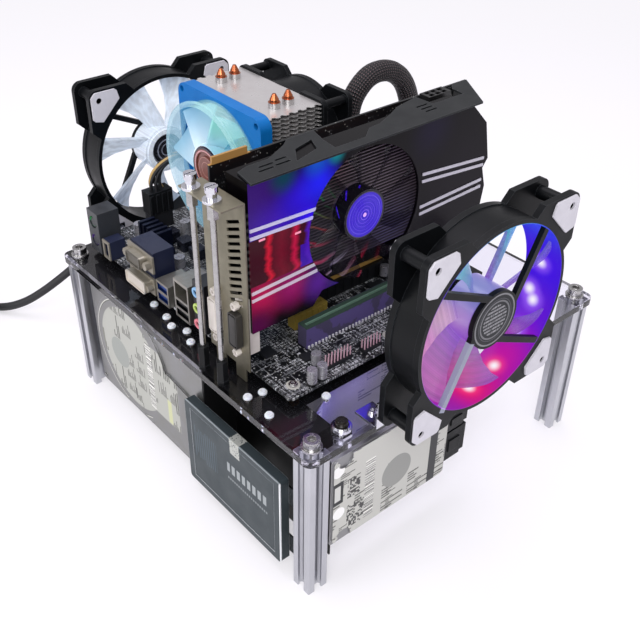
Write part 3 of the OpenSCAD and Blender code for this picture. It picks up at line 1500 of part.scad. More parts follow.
module psu_case() color("black") {
  difference() {
    psu_shell_block(0);
    psu_shell_block(psu_sheet);
    translate([psu_x0 + psu_w / 2, psu_y1 - psu_d / 2, psu_z1 - psu_h]) through(fan_open_d, psu_sheet);
    translate([inlet_x - inlet_w / 2 + psu_sheet, psu_y1 - psu_sheet - over, inlet_z - inlet_h / 2 + psu_sheet])
      cube([inlet_w - 2 * psu_sheet, psu_sheet + 2 * over, inlet_h - 2 * psu_sheet]);
    translate([switch_x - switch_w / 2, psu_y1 - psu_sheet - over, inlet_z - switch_h / 2])
      cube([switch_w, psu_sheet + 2 * over, switch_h]);
    for (i = [0 : 10], j = [0 : 9])
      translate([psu_x0 + vent_x0 + i * vent_dx, psu_y1 - psu_sheet - over, psu_z1 - psu_h + vent_z0 + j * vent_dz])
        along_y() hex_prism(vent_af, psu_sheet + 2 * over);
    translate([psu_x0 + psu_w * 0.72, psu_y1 - psu_d, psu_z1 - grommet_down]) along_y() through(grommet_d, psu_sheet);
  }
  // A wire guard over the fan: rings on a cross
  translate([psu_x0 + psu_w / 2, psu_y1 - psu_d / 2, psu_z1 - psu_h - guard_t]) {
    for (k = [0.23, 0.48, 0.73, 0.98]) difference() {
      cylinder(r = psu_fan_d / 2 * k + guard_t / 2, h = guard_t);
      up(-over) cylinder(r = psu_fan_d / 2 * k - guard_t / 2, h = guard_t + 2 * over);
    }
    for (a = [45, 135]) rotate(a) up(2 * fit) block(psu_fan_d + 1.5 * guard_past, guard_t, guard_t);
  }
  // The inlet's socket with its three blades
  translate([inlet_x, psu_y1, inlet_z]) {
    difference() {
      translate([-inlet_w / 2, -inlet_deep, -inlet_h / 2]) cube([inlet_w, inlet_deep + psu_sheet, inlet_h]);
      translate([-inlet_w / 2 + inlet_wall, -inlet_deep + inlet_floor, -inlet_h / 2 + inlet_wall * 1.25])
        cube([inlet_w - 2 * inlet_wall, inlet_deep + over, inlet_h - 2.5 * inlet_wall]);
    }
    for (s = [[-1, 0], [0, 1], [1, 0]])
      translate([s[0] * blade_out - inlet_blade_w / 2, -inlet_deep + inlet_floor - fit, s[1] * earth_up - blade_out * 0.43])
        cube([inlet_blade_w, inlet_blade_l, inlet_blade_h]);
  }
  // Two lugs behind the sheet carry the rocker's pins
  for (s = [0, 1]) translate([switch_x, rocker_y, inlet_z]) mirror([s, 0, 0]) difference() {
    translate([switch_w / 2, -rocker_pin_d, -rocker_pin_d]) cube([rocker_pin_l, rocker_pin_d + rocker_behind + fit, 2 * rocker_pin_d]);
    translate([switch_w / 2, 0, 0]) along_x() through(rocker_pin_d + run, rocker_pin_l);
  }
  // The fan's frame, its struts on the inner side
  psu_fan_place() case_fan_frame();
}

// The fan hangs over the round opening in the floor and blows up into the case
module psu_fan_place() {
  translate([psu_x0 + psu_w / 2, psu_y1 - psu_d / 2, psu_z1 - psu_h + psu_sheet + fan_t - fit]) mirror([0, 0, 1]) children();
}

module psu_fan_rotor() color("dimgray") psu_fan_place() case_fan_rotor();

// A frame on the supply's rear face, folded over its top and screwed to the deck
fold_l = 22;
fold_screw_in = 17;
fold_screw_edge = 10;
frame_side = 7;
frame_low = 8;
frame_high = 10;
frame_screw_edge = 3.5;
frame_screw_z = 4.5;

module at_psu_screws() {
  for (x = [fold_screw_edge, psu_w - fold_screw_edge]) translate([psu_x0 + x, psu_y1 - fold_screw_in, 0]) children();
}

module psu_bracket() color("black") {
  difference() {
    union() {
      translate([psu_x0, psu_y1, psu_z1 - psu_h]) cube([psu_w, bracket_t, psu_h + bracket_t]);
      translate([psu_x0, psu_y1 - fold_l, psu_z1]) cube([psu_w, fold_l + bracket_t, bracket_t]);
    }
    translate([psu_x0 + frame_side, psu_y1 - over, psu_z1 - psu_h + frame_low])
      cube([psu_w - 2 * frame_side, bracket_t + 2 * over, psu_h - frame_low - frame_high]);
  }
  at_psu_screws() {
    up(deck_z) button_head(screw_head_d, screw_head_h);
    up(psu_z1 + bracket_t) cylinder(d = screw_d, h = deck_t);
  }
  for (x = [frame_screw_edge, psu_w - frame_screw_edge], z = [frame_screw_z, psu_h - frame_screw_z])
    translate([psu_x0 + x, psu_y1 + bracket_t, psu_z1 - psu_h + z]) along_y() button_head(screw_head_d, screw_head_h);
}

// Rocker switch: a cap that tilts on two round pins
module psu_switch() color("black") translate([switch_x, rocker_y, inlet_z]) rotate([7, 0, 0]) {
  translate([-switch_w / 2 + run, -rocker_in, -rocker_h / 2]) cube([switch_w - 2 * run, rocker_in + rocker_out, rocker_h]);
  translate([-switch_w / 2 - rocker_pin_l, 0, 0]) along_x() cylinder(d = rocker_pin_d, h = switch_w + 2 * rocker_pin_l);
}

// Free cord: its route is chosen by hand, in millimetres, from the plug in the inlet to its coil
cord_d = 7;
cord_r = cord_d / 2;

// Points between the chosen ones on a smooth curve
function spline(p, i, t) = let (
  a = p[max(i - 1, 0)], b = p[i], c = p[i + 1], d = p[min(i + 2, len(p) - 1)]
) 0.5 * (2 * b + (c - a) * t + (2 * a - 5 * b + 4 * c - d) * t * t + (3 * b - a - 3 * c + d) * t * t * t);

function smooth(p, n) = [
  for (i = [0 : len(p) - 2], k = [0 : n - 1]) spline(p, i, k / n), p[len(p) - 1]
];

function unit(v) = v / norm(v);
function along(p, i) = unit(p[min(i + 1, len(p) - 1)] - p[max(i - 1, 0)]);
// Carries the ring's first direction along the route without twist
function carry(p, i, v) = i >= len(p) ? [] : let (
  t = along(p, i), w = unit(v - t * (v * t))
) concat([w], carry(p, i + 1, w));

// A round tube along a list of points
module tube(p, r, sides, start) {
  dirs = carry(p, 0, start);
  rings = [for (i = [0 : len(p) - 1]) let (t = along(p, i), u = dirs[i], v = cross(t, u))
    for (k = [0 : sides - 1]) p[i] + r * (cos(360 * k / sides) * u + sin(360 * k / sides) * v)];
  n = len(p);
  faces = concat(
    [for (i = [0 : n - 2], k = [0 : sides - 1]) let (j = (k + 1) % sides)
      [i * sides + k, i * sides + j, (i + 1) * sides + j, (i + 1) * sides + k]],
    [[for (k = [sides - 1 : -1 : 0]) k]],
    [[for (k = [0 : sides - 1]) (n - 1) * sides + k]]
  );
  polyhedron(points = rings, faces = [for (f = faces) reversed(f)]);
}

relief_reach = 58;
relief_end_y = psu_y1 + relief_reach;
CORD_ROUTE = [
  [-63, 195.4, 60], [-64, 205, 59.6], [-73, 214, 56], [-88, 220, 47], [-102, 227, 36], [-114, 236, 25],
  [-125, 247, 14.5], [-135, 259, 7], [-143.5, 271.5, 4], [-148.8, 281, 3.5], [-150.2, 290, 3.5]
];
COIL_CENTRE = [-200, 290];
coil_turn_r = 39;
coil_rows = 2;
coil_layers = 3;

module mains_cord() color("black") tube(smooth(CORD_ROUTE, 2), cord_r, 8, [1, 0, 0]);

module cord_coil() color("black") translate([COIL_CENTRE[0], COIL_CENTRE[1], 0])
  rotate_extrude($fn = 48) translate([coil_turn_r - coil_rows * cord_d / 2, 0]) square([coil_rows * cord_d, coil_layers * cord_d]);

// The plug in the inlet with its tapered relief, and the three-pin plug on the far end
mate_w = 22;
mate_h = 14;
mate_l = 38;
mate_in = 10;
relief_d = 12;

module cord_socket_plug() {
  translate([inlet_x, psu_y1 + psu_sheet, inlet_z]) {
    translate([0, -mate_in, 0]) difference() {
      translate([-mate_w / 2, 0, -mate_h / 2]) cube([mate_w, mate_l, mate_h]);
      for (s = [[-1, 0], [0, 1], [1, 0]])
        translate([s[0] * blade_out - inlet_blade_w / 2 - fit, -over, s[1] * earth_up - blade_out * 0.43 - fit])
          cube([inlet_blade_w + 2 * fit, inlet_blade_l, inlet_blade_h + 2 * fit]);
    }
    translate([0, mate_l - mate_in, 0]) along_y()
      cylinder(d1 = relief_d, d2 = cord_d + over, h = relief_reach - psu_sheet - mate_l + mate_in, $fn = 32);
  }
}

PLUG_CENTRE = [-264, 282];
end_w = 26;
end_l = 30;
end_h = 22;
end_r = 5;
prong_l = 16;
prong_t = 1.5;
prong_h = 6.4;
prong_out = 6.35;
prong_z = 8;
earth_d = 4.8;
earth_l = 18;
module mains_plug() color("black") {
  cord_socket_plug();
  translate([PLUG_CENTRE[0], PLUG_CENTRE[1], 0]) {
    round_block(end_w, end_l, end_h, end_r);
    for (s = [-1, 1]) translate([s * prong_out - prong_t / 2, -end_l / 2 - prong_l, prong_z])
      cube([prong_t, prong_l + fit, prong_h]);
    translate([0, -end_l / 2 - earth_l, earth_d]) along_y() cylinder(d = earth_d, h = earth_l + fit);
  }
}

// Cables of the supply: the sleeved bundle to the board and the processor's lead
bundle_d = 15;
BUNDLE_ROUTE = [
  [66, 28, 148], [62, 28, 168], [52, 28, 190], [48, 28, 208], [52, 28, 226], [66, 28, 238],
  [84, 28, 238], [99, 28, 228], [108, 28, 210], [112, 28, 185], [112, 28, 150], [112, 28, 118],
  [112, 27, 92], [109, 14, 70], [98, -8, 60], [78, -24, 62], [50, -26, 72], [30, -18, 82], [23, -7, 84], [23, -1.5, 84.5]
];
module power_cables() color("black") {
  tube(smooth(BUNDLE_ROUTE, 2), bundle_d / 2, 10, [0, 1, 0]);
  translate([atx_x, atx_y, board_z + atx_h]) block(atx_w, atx_l, atx_plug_h);
  translate([cpu_plug_x, cpu_plug_y, board_z + atx_h]) block(cpu_plug_w, cpu_plug_l, cpu_plug_h);
}

deck();
leg(LEG_SIGNS[0]);  // leg_front_left
leg(LEG_SIGNS[1]);  // leg_front_right
leg(LEG_SIGNS[2]);  // leg_rear_left
leg(LEG_SIGNS[3]);  // leg_rear_right
leg_bolts();
standoffs();
board_screws();
deck_screws();
power_button_body();
power_button_cap();
drive_plugs();
card_pipe();
motherboard();
ps2_port();
video_ports();
usb_lan_ports();
audio_jacks();
board_slots();
memory_module();
board_sockets();
capacitors();
board_heatsinks();
cooler_base();
heat_pipes();
cooler_fins();
cooler_fan_frame();
cooler_fan_ring();
cooler_fan_rotor();
pull_fan_frame();
pull_fan_rotor();
card_board();
card_bracket();
card_heatsink();
card_shroud();
card_stiffener();
card_fan_rotor();
card_ports();
post_bases();
post_rods();
thumb_screws();
rear_fan_frame();
rear_fan_rotor();
front_fan_frame();
front_fan_rotor();
fan_pads();
fan_brackets();
left_drive();
inner_drive();
ssd();
front_drive();
drive_brackets();
psu_case();
psu_bracket();
psu_fan_rotor();
psu_switch();
power_cables();
mains_cord();
cord_coil();
mains_plug();
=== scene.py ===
# Looks of an open air test bench: a clear deck on four slotted legs, with its computer,
# cooler, graphics card and lit fans on top, and its drives and power supply below.
# Everything is placed in millimetres in the part's own frame and turned to metres by MM.
import math

import bmesh
import bpy
from mathutils import Matrix, Vector


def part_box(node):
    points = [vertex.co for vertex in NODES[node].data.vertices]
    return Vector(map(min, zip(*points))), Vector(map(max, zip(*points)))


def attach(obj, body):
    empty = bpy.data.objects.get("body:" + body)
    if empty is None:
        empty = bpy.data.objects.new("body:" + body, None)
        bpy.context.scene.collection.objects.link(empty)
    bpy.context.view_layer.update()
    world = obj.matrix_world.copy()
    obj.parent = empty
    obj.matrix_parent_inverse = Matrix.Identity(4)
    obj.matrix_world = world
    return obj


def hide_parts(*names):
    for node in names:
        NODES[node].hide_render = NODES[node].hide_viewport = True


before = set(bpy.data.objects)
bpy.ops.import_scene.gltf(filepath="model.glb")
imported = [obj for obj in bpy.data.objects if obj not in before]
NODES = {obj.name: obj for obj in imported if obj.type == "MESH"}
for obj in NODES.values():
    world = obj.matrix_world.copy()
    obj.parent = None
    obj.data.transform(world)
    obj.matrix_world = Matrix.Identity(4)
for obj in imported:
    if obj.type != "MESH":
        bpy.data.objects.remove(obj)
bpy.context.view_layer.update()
MM = 0.001


CAMERA_AZIMUTH = math.radians(-41.03)
CAMERA_TILT = math.radians(35.42)
CAMERA_ROLL = math.radians(0.99)
CAMERA_PLACE = (-353.7, -406.9, 458.3)
CAMERA_LENS = 50.07


def set_camera():
    """The photograph's own viewpoint: above the near corner, a little rolled."""
    turn, tilt, roll = CAMERA_AZIMUTH, CAMERA_TILT, CAMERA_ROLL
    back = Vector((math.sin(turn) * math.cos(tilt), -math.cos(turn) * math.cos(tilt), math.sin(tilt)))
    right = Vector((math.cos(turn), math.sin(turn), 0))
    up = back.cross(right)
    side = right * math.cos(roll) + up * math.sin(roll)
    top = up * math.cos(roll) - right * math.sin(roll)
    data = bpy.data.cameras.new("viewpoint")
    data.lens = CAMERA_LENS
    data.sensor_width = 36
    data.clip_start = 0.01
    camera = bpy.data.objects.new("viewpoint", data)
    camera.matrix_world = Matrix((
        (side.x, top.x, back.x, CAMERA_PLACE[0] * MM),
        (side.y, top.y, back.y, CAMERA_PLACE[1] * MM),
        (side.z, top.z, back.z, CAMERA_PLACE[2] * MM),
        (0, 0, 0, 1),
    ))
    bpy.context.scene.collection.objects.link(camera)
    bpy.context.scene.camera = camera


set_camera()


def colour(code, alpha=1.0):
    """Linear colour of an sRGB hex value."""
    parts = [int(code[i:i + 2], 16) / 255 for i in (0, 2, 4)]
    return tuple(c / 12.92 if c <= 0.04045 else ((c + 0.055) / 1.055) ** 2.4 for c in parts) + (alpha,)


def add(tree, kind, inputs=None, **settings):
    """Adds a node. Its inputs are values or other nodes' outputs, by name or number."""
    node = tree.nodes.new("ShaderNode" + kind)
    for key, value in settings.items():
        setattr(node, key, value)
    for key, value in (inputs or {}).items():
        if isinstance(value, bpy.types.NodeSocket):
            tree.links.new(value, node.inputs[key])
        else:
            node.inputs[key].default_value = value
    return node


class Finish:
    """A material in the making: its shader, places on it in millimetres, and its colour so far."""

    def __init__(self, name, base, other=None, patch=9, rough=(0.4, 0.5), grit=0.5, depth=0.01,
                 stretch=(1, 1, 1), edge=0.3, **sockets):
        self.material = bpy.data.materials.new(name)
        self.material.use_nodes = True
        self.tree = tree = self.material.node_tree
        self.shader = tree.nodes["Principled BSDF"]
        for key, value in sockets.items():
            self.shader.inputs[key.replace("_", " ")].default_value = value
        spot = add(tree, "TexCoord").outputs["Object"]
        self.place = add(tree, "VectorMath", {0: spot, 1: (1000, 1000, 1000)}, operation="MULTIPLY").outputs[0]
        self.clouds = add(tree, "TexNoise", {"Vector": self.place, "Scale": 1 / patch, "Detail": 4}).outputs[0]
        self.tint = self.mix(self.clouds, colour(base), colour(other or base))
        self.rough = add(tree, "MapRange", {0: self.clouds, 1: 0.3, 2: 0.7, 3: rough[0], 4: rough[1]}).outputs[0]
        drawn = add(tree, "VectorMath", {0: self.place, 1: stretch}, operation="MULTIPLY").outputs[0]
        self.grain = add(tree, "TexNoise", {"Vector": drawn, "Scale": 1 / grit, "Detail": 3}).outputs[0]
        self.rounded = add(tree, "Bevel", {"Radius": edge * MM}, samples=4).outputs[0] if edge else None
        bump = add(tree, "Bump", {"Strength": 1, "Distance": depth * MM, "Height": self.grain})
        if edge:
            tree.links.new(self.rounded, bump.inputs["Normal"])
        tree.links.new(bump.outputs[0], self.shader.inputs["Normal"])
        self.bump = bump
        self.lit = self.alpha = self.metal = None

    def mix(self, share, first, second):
        """first where share is 0, second where it is 1."""
        return add(self.tree, "Mix", {0: share, 6: first, 7: second}, data_type="RGBA").outputs[2]

    def maths(self, what, *values):
        return add(self.tree, "Math", dict(enumerate(values)), operation=what).outputs[0]

    def axis(self, letter):
        """Place along one axis, in millimetres."""
        return add(self.tree, "SeparateXYZ", {0: self.place}).outputs[letter]

    def paint(self, share, code):
        """Lays another colour over the one so far, where share is 1."""
        self.tint = self.mix(share, self.tint, colour(code))

    def roughen(self, share, value):
        self.rough = add(self.tree, "Mix", {0: share, 2: self.rough, 3: value}, data_type="FLOAT").outputs[0]

    def inside(self, low, high, place=None):
        """1 inside the block from low to high, in millimetres."""
        middle = [(a + b) / 2 for a, b in zip(low, high)]
        half = [(b - a) / 2 for a, b in zip(low, high)]
        off = add(self.tree, "VectorMath", {0: place or self.place, 1: middle}, operation="SUBTRACT").outputs[0]
        off = add(self.tree, "VectorMath", {0: off}, operation="ABSOLUTE").outputs[0]
        off = add(self.tree, "VectorMath", {0: off, 1: half}, operation="SUBTRACT").outputs[0]
        parts = add(self.tree, "SeparateXYZ", {0: off}).outputs
        worst = self.maths("MAXIMUM", self.maths("MAXIMUM", parts[0], parts[1]), parts[2])
        return self.maths("LESS_THAN", worst, 0.0)

    def edge_wear_and_highlight(self, code, amount=0.6):
        """Rubbed edges and painted edge highlights, found where the rounded surface leaves the flat one."""
        flat = add(self.tree, "NewGeometry").outputs["Normal"]
        along = add(self.tree, "VectorMath", {0: self.rounded, 1: flat}, operation="DOT_PRODUCT").outputs["Value"]
        rub_and_highlight = add(self.tree, "MapRange", {0: along, 1: 0.995, 2: 0.86, 3: 0, 4: amount}).outputs[0]
        self.paint(rub_and_highlight, code)

    def glow(self, spots, strength, ground="000000", only=None):
        """Painted light of lamps behind or beside the surface: soft spots (x, y, z, reach, colour)."""
        self.lit = add(self.tree, "RGB").outputs[0]
        self.lit.default_value = colour(ground)
        for x, y, z, reach, code in spots:
            far = add(self.tree, "VectorMath", {0: self.place, 1: (x, y, z)}, operation="DISTANCE").outputs["Value"]
            share = add(self.tree, "MapRange", {0: far, 1: 0, 2: reach, 3: 1, 4: 0},
                        interpolation_type="SMOOTHSTEP").outputs[0]
            self.shine(share, code)
        if only is not None:
            self.dim(only)
        self.shader.inputs["Emission Strength"].default_value = strength

    def shine(self, share, code):
        """Lays another painted light over the one so far, where share is 1."""
        self.lit = self.mix(share, self.lit, colour(code))

    def dim(self, share):
        """Keeps the light only where share is 1."""
        self.lit = self.mix(share, colour("000000"), self.lit)

    def fade(self, share, alpha):
        """Half clear where share is 1."""
        self.alpha = add(self.tree, "MapRange", {0: share, 3: 1.0, 4: alpha}).outputs[0]

    def unplate(self, share):
        """No bare metal where share is 1, as on a label or paint."""
        bare = self.shader.inputs["Metallic"].default_value
        self.metal = add(self.tree, "MapRange", {0: share, 3: bare, 4: 0.0}).outputs[0]

    def both(self, one, other):
        return self.maths("MULTIPLY", one, other)

    def off(self, centre, keep=(1, 1, 1)):
        """Place from a centre, along the axes that keep leaves."""
        off = add(self.tree, "VectorMath", {0: self.place, 1: centre}, operation="SUBTRACT").outputs[0]
        return add(self.tree, "VectorMath", {0: off, 1: keep}, operation="MULTIPLY").outputs[0]

    def from_axis(self, centre, keep):
        """Distance in millimetres to a line through the centre, along the axis that keep drops."""
        return add(self.tree, "VectorMath", {0: self.off(centre, keep)}, operation="LENGTH").outputs["Value"]

    def round_axis(self, centre):
        """Angle in radians round a line along Y through the centre."""
        parts = add(self.tree, "SeparateXYZ", {0: self.off(centre)}).outputs
        return self.maths("ARCTAN2", parts[2], parts[0])

    def ring(self, far, low, high):
        return self.both(self.maths("GREATER_THAN", far, low), self.maths("LESS_THAN", far, high))

    def turned(self, centre, along, across):
        """Place from a centre in a frame turned round Y."""
        off = self.off(centre)
        u, v = (add(self.tree, "VectorMath", {0: off, 1: way}, operation="DOT_PRODUCT").outputs["Value"]
                for way in (along, across))
        deep = add(self.tree, "SeparateXYZ", {0: off}).outputs[1]
        return add(self.tree, "CombineXYZ", {0: u, 1: deep, 2: v}).outputs[0]

    def marks(self, u, v, row, letter, gap=0.5, full=0.55):
        """Unreadable print: dashes of letter size in rows, along u and spaced along v."""
        line = self.maths("FLOOR", self.maths("DIVIDE", v, row))
        within = self.maths("FRACT", self.maths("DIVIDE", v, row))
        seat = add(self.tree, "CombineXYZ", {0: self.maths("DIVIDE", u, letter), 1: self.maths("MULTIPLY", line, 7.3)})
        dash = add(self.tree, "TexNoise", {"Vector": seat.outputs[0], "Scale": 1.0, "Detail": 2}).outputs[0]
        inked = self.maths("GREATER_THAN", dash, 1 - full)
        return self.maths("MULTIPLY", inked, self.maths("LESS_THAN", within, gap))

    def done(self):
        for socket, value in (("Base Color", self.tint), ("Roughness", self.rough), ("Emission Color", self.lit),
                              ("Alpha", self.alpha), ("Metallic", self.metal)):
            if value is not None:
                self.tree.links.new(value, self.shader.inputs[socket])
        return self.material


def see_through(finish, shade="ffffff"):
    """Lets lamps shine through the sheet, so that it casts the pale shadow of clear plastic."""
    tree = finish.tree
    clear = add(tree, "BsdfTransparent", {"Color": colour(shade)}).outputs[0]
    lamp = add(tree, "LightPath").outputs["Is Shadow Ray"]
    both = add(tree, "MixShader", {0: lamp, 1: finish.shader.outputs[0], 2: clear}).outputs[0]
    tree.links.new(both, tree.nodes["Material Output"].inputs["Surface"])


# Cast acrylic sheet, polished: clear faces, a faint violet cast and fine scuffs
acrylic = Finish("clear_cast_acrylic", "f4f2fb", "eeeefa", patch=60, rough=(0.01, 0.05), grit=6, depth=0.004,
                 edge=0.4, Transmission_Weight=1.0, IOR=1.49)
see_through(acrylic, "f4f2fa")
# Extruded aluminium, satin anodised: lines along the die, painted soft glints on the lips
leg_metal = Finish("satin_anodised_aluminium", "c9cacf", "b9bac0", patch=30, rough=(0.3, 0.42), grit=0.6,
                   depth=0.012, stretch=(3, 3, 0.04), Metallic=1.0)
leg_metal.edge_wear_and_highlight("eeeef2")
# Steel, nickel plated and tumbled: screws, nuts and rods
steel = Finish("bright_nickel_steel", "bdbcbc", "a09e9e", patch=3, rough=(0.16, 0.3), grit=0.4, depth=0.006, Metallic=1.0)
steel.edge_wear_and_highlight("ffffff", 0.4)
chrome = Finish("polished_chrome", "e4e4ea", "c4c4cc", patch=5, rough=(0.06, 0.16), grit=0.8, depth=0.003, Metallic=1.0)
brass = Finish("turned_brass", "c99b4e", "b07f38", patch=3, rough=(0.22, 0.36), grit=0.3, depth=0.006, Metallic=1.0)
# Copper pipe, drawn, slightly browned by heat
copper = Finish("drawn_copper", "c9784f", "8f4a33", patch=8, rough=(0.18, 0.36), grit=0.5, depth=0.006, Metallic=1.0)
# Nylon, moulded: milky white with soft highlights
nylon = Finish("white_moulded_nylon", "e9e7ea", "dcd9de", patch=4, rough=(0.35, 0.5), Subsurface_Weight=0.2)
rubber = Finish("white_silicone_rubber", "cfcdd4", "bfbdc5", patch=5, rough=(0.55, 0.7), grit=0.5, depth=0.02)
black_plastic = Finish("black_moulded_plastic", "0b0c0e", "111214", patch=12, rough=(0.34, 0.5), grit=0.35,
                       depth=0.02, Specular_IOR_Level=0.2)
black_plastic.edge_wear_and_highlight("44474c", 0.6)
# Braided nylon sleeve over the wires: crossing threads, drawn 1.9 mm apart so that they show, painted glints where they
# cross
braid = Finish("black_braided_sleeve", "101013", "18171b", patch=8, rough=(0.4, 0.56), grit=0.4, depth=0.01, edge=0,
               Specular_IOR_Level=0.3)
run = add(braid.tree, "SeparateXYZ", {0: add(braid.tree, "UVMap", uv_map="along").outputs[0]}).outputs
threads = [braid.maths("SINE", braid.maths("MULTIPLY", braid.maths(way, run[0], run[1]), 2 * math.pi / 1.9 / 2))
           for way in ("ADD", "SUBTRACT")]
crossing = braid.maths("MULTIPLY", *threads)
sleeve = add(braid.tree, "Bump", {"Strength": 1.0, "Distance": 0.35 * MM, "Height": crossing}).outputs[0]
braid.tree.links.new(sleeve, braid.shader.inputs["Normal"])
# Painted reddish glints where the threads cross
braid.paint(braid.maths("GREATER_THAN", crossing, 0.72), "6e5a5c")
wire_black = Finish("black_wire_skin", "141416", "1c1c1f", patch=8, rough=(0.36, 0.5), edge=0, Specular_IOR_Level=0.35)
wire_tan = Finish("tan_wire_skin", "b89a64", "a0844e", patch=8, rough=(0.36, 0.5), edge=0)
# Painted shade: a black sheet that hides the deck's underside and stands for the dark seen through it
shade_sheet_paint = Finish("black_painted_shade_sheet", "060607", "09090b", patch=20, rough=(0.4, 0.52), grit=0.6, depth=0.02,
                    Specular_IOR_Level=0.2)
fin_metal = Finish("bare_aluminium_fins", "cfcdcc", "b4b0b0", patch=10, rough=(0.24, 0.4), grit=0.5, depth=0.01, edge=0,
                   Metallic=0.6)
bracket_steel = Finish("zinc_plated_sheet", "98937f", "7f7a6c", patch=7, rough=(0.32, 0.46), grit=0.5, depth=0.01,
                       Metallic=0.85)
# Each pipe's end cap is copper above a nickel collar that stands on the top fin
FIN_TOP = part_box("cooler_fins")[1][2] / MM
COLLAR_H = 3.6
copper.paint(copper.ring(copper.axis("Z"), FIN_TOP, FIN_TOP + COLLAR_H), "c9c7c6")
for plain in (steel, chrome, brass, copper, nylon, rubber, black_plastic, braid, wire_black, wire_tan, shade_sheet_paint, fin_metal,
              bracket_steel, acrylic, leg_metal):
    plain.done()


FRONT_FAN = (-22.3, -158, 179)
REAR_FAN = (-28.4, 160, 166.5)
COOLER_FAN = (-49, 50, 195.8)
CARD_FAN = (-20.5, -58, 197.6)
ACROSS_X, ACROSS_Y = (0, 1, 1), (1, 0, 1)


def near(fan, dx, dz, reach, code):
    """A spot of light beside a fan's shaft."""
    return (fan[0] + dx, fan[1], fan[2] + dz, reach, code)


def ridges(f, far, pitch, depth):
    """Fine moulded rings round a fan's shaft."""
    wave = f.maths("SINE", f.maths("MULTIPLY", far, 2 * math.pi / pitch))
    ridge = add(f.tree, "Bump", {"Strength": 0.6, "Distance": depth * MM, "Height": wave,
                                 "Normal": f.bump.outputs[0]}).outputs[0]
    f.tree.links.new(ridge, f.shader.inputs["Normal"])


# Moulded black nylon of the fans' frames: dull, with a painted grey highlight along the edges
FAN_NYLON = dict(base="08090b", other="0d0f12", patch=12, rough=(0.34, 0.46), grit=0.35, depth=0.02,
                 Specular_IOR_Level=0.14)
fan_black = Finish("black_fan_nylon", **FAN_NYLON)
fan_black.edge_wear_and_highlight("50555a", 0.6)

# The front fan's frame: its duct wall carries painted light of six lamps, and its hub carries a printed disc
front_frame = Finish("black_fan_nylon_lit_duct", **FAN_NYLON)
# Painted grey highlight along the frame's edges, as on the other fan frames
front_frame.edge_wear_and_highlight("50555a", 0.6)
far = front_frame.from_axis(FRONT_FAN, ACROSS_Y)
wall = front_frame.ring(far, 56.1, 56.7)
LAMPS = ((33.5, -156.8, 187.3), (32.9, -152.7, 167.5), (31.6, -157.2, 162.2), (22.1, -155.5, 144.2), (1.5, -158.5, 127.9),
         (-20.8, -159.1, 122.6))
front_frame.glow([near(FRONT_FAN, 40, 40, 44, "2a3ce8"), near(FRONT_FAN, 0, 56, 44, "28a8d8"),
                  near(FRONT_FAN, 56, 6, 40, "4410e6"), near(FRONT_FAN, 50, -26, 30, "6a10d8"),
                  near(FRONT_FAN, 30, -48, 34, "c010a0"), near(FRONT_FAN, 0, -56, 36, "e81468"),
                  near(FRONT_FAN, -30, -48, 34, "a0189a"), near(FRONT_FAN, -56, 0, 46, "d890b8")]
                 + [(x, y, z, 10, "a060ff" if z > 140 else "ff3a88") for x, y, z in LAMPS]
                 + [(x, y, z, 5.2, "fbf6ff") for x, y, z in LAMPS], 0.95, "3a10c0", wall)
disc = front_frame.both(front_frame.maths("LESS_THAN", far, 16.6),
                        front_frame.maths("LESS_THAN", front_frame.axis("Y"), -170.9))
front_frame.paint(disc, "202226")
for low, high, code in ((15.4, 16.4, "7c7c80"), (11.2, 12.2, "6e6e72"), (13.0, 13.4, "505056")):
    front_frame.paint(front_frame.both(front_frame.ring(far, low, high), disc), code)
marks = front_frame.marks(front_frame.axis("X"), front_frame.axis("Z"), 2.4, 0.42, 0.55, 0.56)
front_frame.paint(front_frame.both(front_frame.both(marks, disc), front_frame.maths("LESS_THAN", far, 9.6)), "8c8c90")
# The strut that carries the leads is covered by a bright grey channel
STRUT = math.radians(244)
turned = front_frame.turned(FRONT_FAN, (math.cos(STRUT), 0, math.sin(STRUT)), (-math.sin(STRUT), 0, math.cos(STRUT)))
channel = front_frame.inside((15, -13.6, -14), (58, -9.3, -9.4), turned)
front_frame.paint(channel, "8e92a4")
front_frame.roughen(channel, 0.25)

# Clear moulded blades; they spin in the photograph, so they stay half clear, with the lamps' colours painted on them as
# light
front_blades = Finish("clear_blades_painted_pink_and_blue_light", "6c6080", patch=20, rough=(0.15, 0.25), grit=1.2, depth=0.01, edge=0)
far = front_blades.from_axis(FRONT_FAN, ACROSS_Y)
streaks = add(front_blades.tree, "TexNoise", {"Vector": add(front_blades.tree, "CombineXYZ", {
    0: front_blades.maths("MULTIPLY", far, 0.35), 1: 2.2}).outputs[0], "Scale": 1.0, "Detail": 3}).outputs[0]
front_blades.glow([
    near(FRONT_FAN, -22, 44, 50, "5cd0d8"), near(FRONT_FAN, 12, 50, 44, "38b8d0"), near(FRONT_FAN, -52, -4, 42, "ee86c0"),
    near(FRONT_FAN, -30, 8, 20, "f6c4dc"), near(FRONT_FAN, -34, -34, 32, "c850a8"), near(FRONT_FAN, -8, -44, 30, "c82a80"),
    near(FRONT_FAN, 24, -38, 30, "a01498"), near(FRONT_FAN, 52, 0, 38, "3c12cc"), near(FRONT_FAN, 40, 34, 30, "2050d8"),
], 0.75, "7a2cc0")
front_blades.dim(add(front_blades.tree, "MapRange", {0: streaks, 1: 0.35, 2: 0.7, 3: 0.55, 4: 1.0}).outputs[0])
front_blades.fade(front_blades.maths("GREATER_THAN", far, 18.3), 0.78)
ridges(front_blades, far, 1.1, 0.12)
